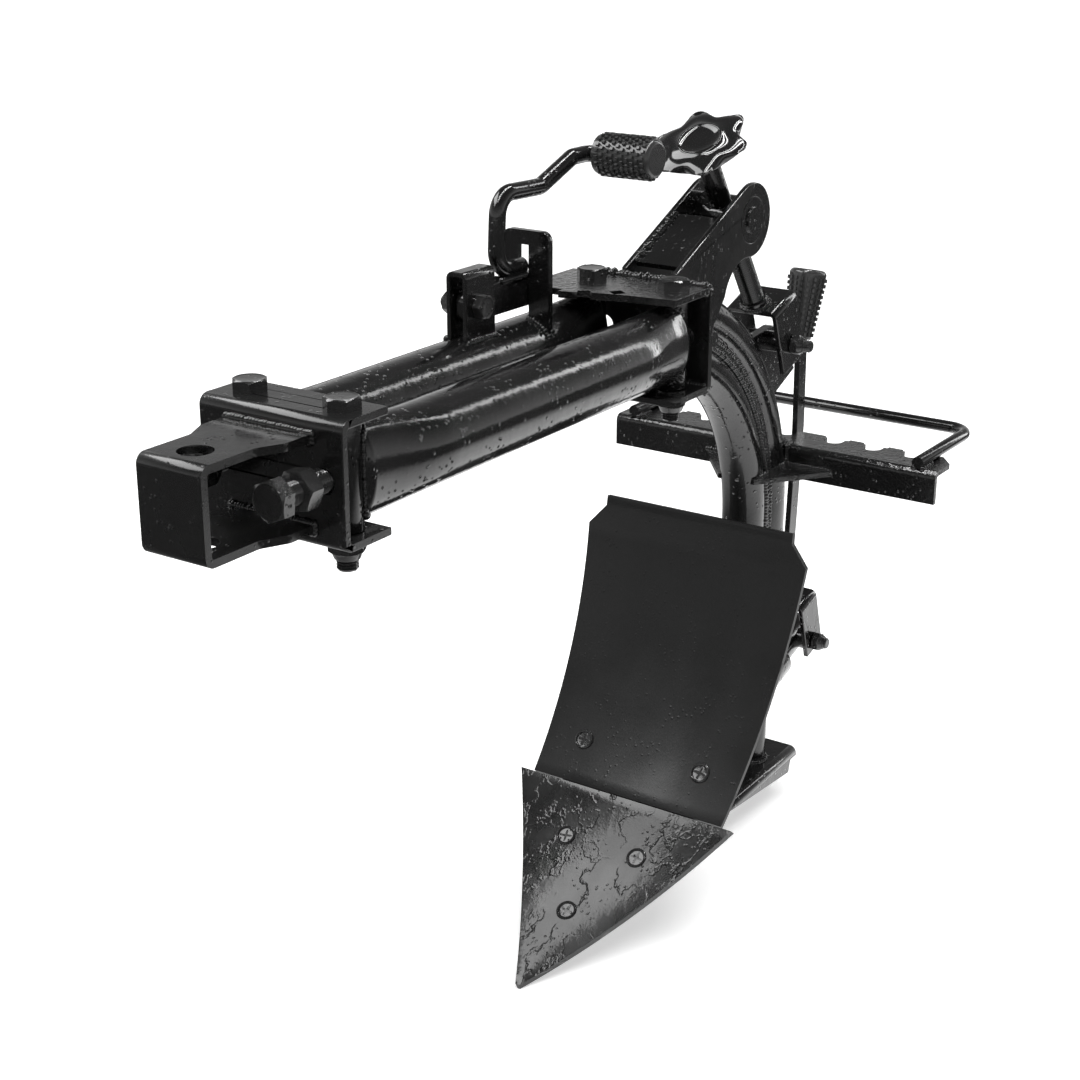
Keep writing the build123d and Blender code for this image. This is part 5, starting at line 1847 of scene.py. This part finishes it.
@dataclass
class PloughBody:
    """The share and the moldboard on their frog, and the turning shaft.

    A countersunk bolt's place is its angle about the rolling axis and its place across.
    """

    kit: Kit
    share_radius: float = 455.0
    share_thick: float = 6.0
    share_grip: float = 17.0
    board_radius: float = 458.5
    board_grip: float = 12.5
    tip_angle: float = math.radians(18.93)
    share_bolts: tuple[tuple[float, float], ...] = ((30.0, 0.0), (38.9, 39.0), (38.9, -39.0))
    board_bolts: tuple[tuple[float, float], ...] = ((51.0, 64.6), (51.0, -64.6))
    recess: tuple[float, float] = (20.0, 4.6)
    bolt_start: float = 3.6
    bolt_tail: float = 4.0
    shaft_radius: float = 15.0
    web_half: float = 6.0
    web_run: tuple[float, float] = (176.0, 324.0)

    def __post_init__(self) -> None:
        """Finds the share's tip and the axis about which the plates are rolled."""
        self.tip = joint_place("body_turn")
        upwards = Vector((math.sin(self.tip_angle), 0.0, math.cos(self.tip_angle)))
        self.roll = self.tip + upwards * (self.share_radius + self.share_thick / 2)

    def build(self) -> None:
        """Makes the countersunk bolts, the web's welds and the hinge bolt."""
        for node, radius, grip, places in (
            ("share_bolts", self.share_radius, self.share_grip, self.share_bolts),
            ("moldboard_bolts", self.board_radius, self.board_grip, self.board_bolts),
        ):
            bolts = [self.bolt(radius, angle, y, grip) for angle, y in places]
            self.kit.workshop.fit(node, "plough_body", bolts)
        self.web_welds()
        hinge = joint_place("turning_lever_tilt")
        pin = clevis_pin(hinge, shank_end=44.0, spacers=(22.0, 9.0, 22.0))
        self.kit.workshop.fit("lever_hinge_bolt", "plough_body", [pin])

    def bolt(self, radius: float, degrees: float, y: float, grip: float) -> Bolt:
        """A countersunk bolt from the rolled face inwards.

        Args:
            radius: The face's radius, in mm.
            degrees: The angle about the rolling axis.
            y: The place across the plough, in mm.
            grip: The thickness that the bolt holds, in mm.

        Returns:
            The bolt.
        """
        angle = math.radians(degrees)
        inward = Vector((-math.sin(angle), 0.0, -math.cos(angle)))
        return Bolt(
            self.roll + inward * radius + LEFT * y,
            inward,
            M10,
            head=None,
            nut=grip,
            shank=(self.bolt_start, grip + M10.nut + self.bolt_tail),
            lock_nut=False,
            countersunk=self.recess,
        )

    def web_welds(self) -> None:
        """The welds between the web and the shaft."""
        back = joint_axis("body_turn")
        normal = Vector((back.z, 0.0, -back.x))
        lift = math.sqrt(self.shaft_radius**2 - self.web_half**2)
        start, end = (self.tip + back * run + normal * lift for run in self.web_run)
        seams = []
        for hand in (1, -1):
            side = LEFT * (hand * self.web_half)
            seams.append(Seam([start + side, end + side], girth=3.4))
        self.kit.welder.lay("web_welds", "plough_body", seams, pitch=2.8, seed=71)


@dataclass
class TurningLever:
    """The bar on its clevis and its tapered rubber grip."""

    kit: Kit
    clevis_height: float = 56.0
    bar: tuple[float, float] = (8.0, 3.0)
    grip_gap: float = 4.0
    grip_foot_z: float = -70.0
    grip_lean: float = math.radians(-14.0)
    grip_length: float = 70.0
    grip_radii: tuple[float, float] = (12.5, 19.0)
    tread_start: float = 2.0
    tread_short: float = 9.0

    def build(self) -> None:
        """Makes the foot's weld and the grip's tread."""
        back = joint_axis("body_turn")
        normal = Vector((back.z, 0.0, -back.x))
        foot = joint_place("turning_lever_tilt") + normal * self.clevis_height
        along, across = self.bar
        corners = [(1, 1), (1, -1), (-1, -1), (-1, 1)]
        points = [foot - back * (u * along) + LEFT * (v * across) for u, v in corners]
        seam = Seam(points, closed=True)
        self.kit.welder.lay("lever_foot_weld", "turning_lever", [seam], seed=81)
        self.grip()

    def grip(self) -> None:
        """The rows of pads round the tapered grip."""
        comb_low, _ = box_mm("comb_bar")
        lean = Vector((math.sin(self.grip_lean), 0.0, math.cos(self.grip_lean)))
        base = Vector((comb_low.x - self.grip_gap, 0.0, self.grip_foot_z))
        turn = Matrix((LEFT, LEFT.cross(lean), lean)).transposed().to_4x4()
        start, length = self.tread_start, self.grip_length - self.tread_short
        foot_radius, top_radius = self.grip_radii
        grow = (top_radius - foot_radius) / self.grip_length
        tread = Tread(columns=18, rows=11, length=length, stagger=0.0, pad=(1.9, 3.3, 4.4))
        tread.wrap(
            self.kit,
            "turning_grip_tread",
            foot_radius + grow * start,
            foot_radius + grow * (start + length),
            Matrix.Translation((base + lean * start) * MM) @ turn,
            "turning_lever",
        )


# Dressing and studio ---------------------------------------------------------------------
@dataclass(frozen=True)
class Rounding:
    """The rolled and painted-over edges of the steel pieces."""

    width: float = 0.8 * MM
    angle: float = math.radians(40)
    weld: float = 0.01 * MM

    def apply(self, obj: bpy.types.Object) -> None:
        """Welds an object's loose triangles and rounds its edges, with modifiers.

        Args:
            obj: The object to round.
        """
        weld = obj.modifiers.new("weld", "WELD")
        weld.merge_threshold = self.weld
        bevel = obj.modifiers.new("round", "BEVEL")
        bevel.width = self.width
        bevel.segments = 2
        bevel.limit_method = "ANGLE"
        bevel.angle_limit = self.angle
        bevel.use_clamp_overlap = True
        bevel.harden_normals = False


# The nodes whose enamel isn't glossy.
COATS = {
    "notched_top_plate": Coat.ROUGH,
    "comb_bar": Coat.ROUGH,
    "comb_gussets": Coat.ROUGH,
    "moldboard": Coat.SATIN,
    "share": Coat.CREASED,
    "drawbar_bracket": Coat.PLAIN,
    "hitch_channel": Coat.PLAIN,
    "cheek_left": Coat.PLAIN,
    "cheek_right": Coat.PLAIN,
    "yoke_back_plate": Coat.PLAIN,
}


@dataclass(frozen=True)
class Dresser:
    """Gives the CAD nodes their finish and their rounded edges."""

    finishes: Finishes
    rounding: Rounding = Rounding()

    def run(self) -> None:
        """Dresses every node."""
        slots = {s["node"]: Slot(s["material_slot"]) for s in frame["record"]["subparts"]}
        for name, obj in frame["nodes"].items():
            coat = COATS.get(name, Coat.GLOSSY)
            obj.data.materials.clear()
            obj.data.materials.append(self.finishes.material(slots[name], coat))
            self.rounding.apply(obj)
        log.info("dressed %d nodes", len(frame["nodes"]))


@dataclass(frozen=True)
class Strip:
    """A long soft lamp."""

    name: str
    place: tuple[float, float, float]
    aim: tuple[float, float, float]
    size: tuple[float, float]
    radiance: float


@dataclass
class Studio:
    """A white floor, a soft sky, strip lamps and the camera.

    Places are in metres, and the lens and its sensor in mm. The floor reflects as a bright
    pool: its middle, where it starts and ends to fade, and its radiance inside and outside.
    Each of the sky's stops is the height of a direction and its tone.
    """

    floor_z: float
    eye: tuple[float, float, float] = (0.8734, 0.8610, 0.4121)
    right: tuple[float, float, float] = (-0.5606, 0.8281, 0.0)
    up: tuple[float, float, float] = (-0.2832, -0.1917, 0.9397)
    lens: float = 64.9
    sensor: float = 36.0
    view_end: float = 200.0
    floor_half: float = 30.0
    floor_tone: float = 0.82
    floor_glow: float = 0.5
    pool: tuple[float, float] = (-1.1, 0.3)
    pool_reach: tuple[float, float] = (0.5, 1.35)
    pool_shine: tuple[float, float] = (1.15, 0.09)
    sky: float = 0.62
    sky_stops: tuple[tuple[float, float], ...] = ((0.34, 0.4), (0.56, 0.14))
    sky_top: tuple[float, float] = (0.95, 0.08)
    sun_power: float = 2.7
    sun_angle: float = math.radians(40)
    sun_aim: tuple[float, float, float] = (-0.15, -0.3, -1.0)
    strips: tuple[Strip, ...] = (
        Strip("strip_over_left", (-0.4, 0.16, 2.2), (-0.4, 0.0, 0.0), (3.4, 0.09), 26.0),
        Strip("strip_over_right", (-0.4, -0.12, 2.2), (-0.4, 0.0, 0.0), (3.4, 0.07), 18.0),
        Strip("strip_right", (0.1, -0.95, 1.2), (-0.58, 0.0, -0.46), (1.6, 0.7), 4.4),
        Strip("strip_rear", (-2.6, 0.9, 0.9), (-0.7, 0.0, -0.2), (0.22, 2.2), 4.0),
    )

    def build(self) -> None:
        """Puts everything of the studio into the scene."""
        self.floor()
        self.world()
        self.lamps()
        self.camera()
        bpy.context.scene.view_settings.view_transform = "Standard"

    def floor(self) -> None:
        """Lays the floor, white to the eye but for its shadow, and bright in reflections."""
        half, z = self.floor_half, self.floor_z
        mesh = bpy.data.meshes.new("floor")
        corners = [(-half, -half, z), (half, -half, z), (half, half, z), (-half, half, z)]
        mesh.from_pydata(corners, [], [(0, 1, 2, 3)])
        obj = link("floor", mesh)
        sh = Shader("white_floor")
        rays = sh.node("ShaderNodeLightPath").outputs
        body = sh.node("ShaderNodeBsdfDiffuse", Color=grey(self.floor_tone))
        seen = sh.math("MULTIPLY", rays["Is Camera Ray"], self.floor_glow)
        glow = sh.node("ShaderNodeEmission", Strength=seen)
        lit = sh.fed("ShaderNodeAddShader", body.outputs[0], glow.outputs[0])
        away = sh.node("ShaderNodeVectorMath", operation="DISTANCE")
        sh.feed(away.inputs[0], sh.coords())
        sh.feed(away.inputs[1], (*self.pool, z))
        fade = sh.ramp(away.outputs["Value"], *self.pool_reach, *self.pool_shine)
        shine = sh.node("ShaderNodeEmission", Strength=fade)
        mixed = sh.fed("ShaderNodeMixShader", rays["Is Glossy Ray"], lit, shine.outputs[0])
        mesh.materials.append(sh.finish(mixed))

    def world(self) -> None:
        """Makes a sky that is bright at the horizon and dim overhead."""
        world = bpy.data.worlds.new("studio")
        bpy.context.scene.world = world
        world.use_nodes = True
        sky = Nodes(world.node_tree)
        back = sky.tree.nodes["Background"]
        coords = sky.node("ShaderNodeTexCoord").outputs["Generated"]
        split = sky.node("ShaderNodeSeparateXYZ", Vector=coords)
        ramp = sky.node("ShaderNodeValToRGB", Fac=split.outputs["Z"])
        sky.feed(back.inputs["Color"], ramp.outputs["Color"])
        stops = ramp.color_ramp.elements
        stops[0].position, stops[0].color = 0.0, grey(1.0)
        stops[1].position, stops[1].color = self.sky_top[0], grey(self.sky_top[1])
        for place, tone in self.sky_stops:
            stops.new(place).color = grey(tone)
        back.inputs["Strength"].default_value = self.sky

    def lamps(self) -> None:
        """Hangs the strip lamps and a soft sun."""
        sun = bpy.data.lights.new("soft_sun", "SUN")
        sun.energy = self.sun_power
        sun.angle = self.sun_angle
        holder = bpy.data.objects.new("soft_sun", sun)
        holder.rotation_euler = Vector(self.sun_aim).to_track_quat("-Z", "Y").to_euler()
        holder.visible_glossy = False
        bpy.context.scene.collection.objects.link(holder)
        for strip in self.strips:
            lamp = bpy.data.lights.new(strip.name, "AREA")
            lamp.shape = "RECTANGLE"
            lamp.size, lamp.size_y = strip.size
            lamp.energy = strip.radiance * math.pi * strip.size[0] * strip.size[1]
            holder = bpy.data.objects.new(strip.name, lamp)
            holder.location = strip.place
            aim = Vector(strip.aim) - Vector(strip.place)
            holder.rotation_euler = aim.to_track_quat("-Z", "Y").to_euler()
            bpy.context.scene.collection.objects.link(holder)

    def camera(self) -> None:
        """Sets the camera where the eye is."""
        lens = bpy.data.cameras.new("camera")
        lens.lens = self.lens
        lens.sensor_width = self.sensor
        lens.clip_end = self.view_end
        holder = bpy.data.objects.new("camera", lens)
        right, up = Vector(self.right).normalized(), Vector(self.up).normalized()
        turn = Matrix((right, up, right.cross(up))).transposed().to_4x4()
        holder.matrix_world = Matrix.Translation(self.eye) @ turn
        bpy.context.scene.collection.objects.link(holder)
        bpy.context.scene.camera = holder


def main() -> None:
    """Builds the finishes, the sub-assemblies' own pieces and the studio."""
    finishes = Finishes()
    workshop = Workshop(StampTree(), finishes)
    kit = Kit(finishes, Welder(BeadTree(), finishes), workshop, TreadTree())
    for group in (Hitch, Beam, WidthLever, Yoke, DepthScrew, Standard, PloughBody, TurningLever):
        group(kit).build()
        log.info("built %s", group.__name__)
    workshop.clear()
    Dresser(finishes).run()
    Studio(floor_z=CAD_BOX[0][2]).build()


if __name__ == "__main__":
    main()
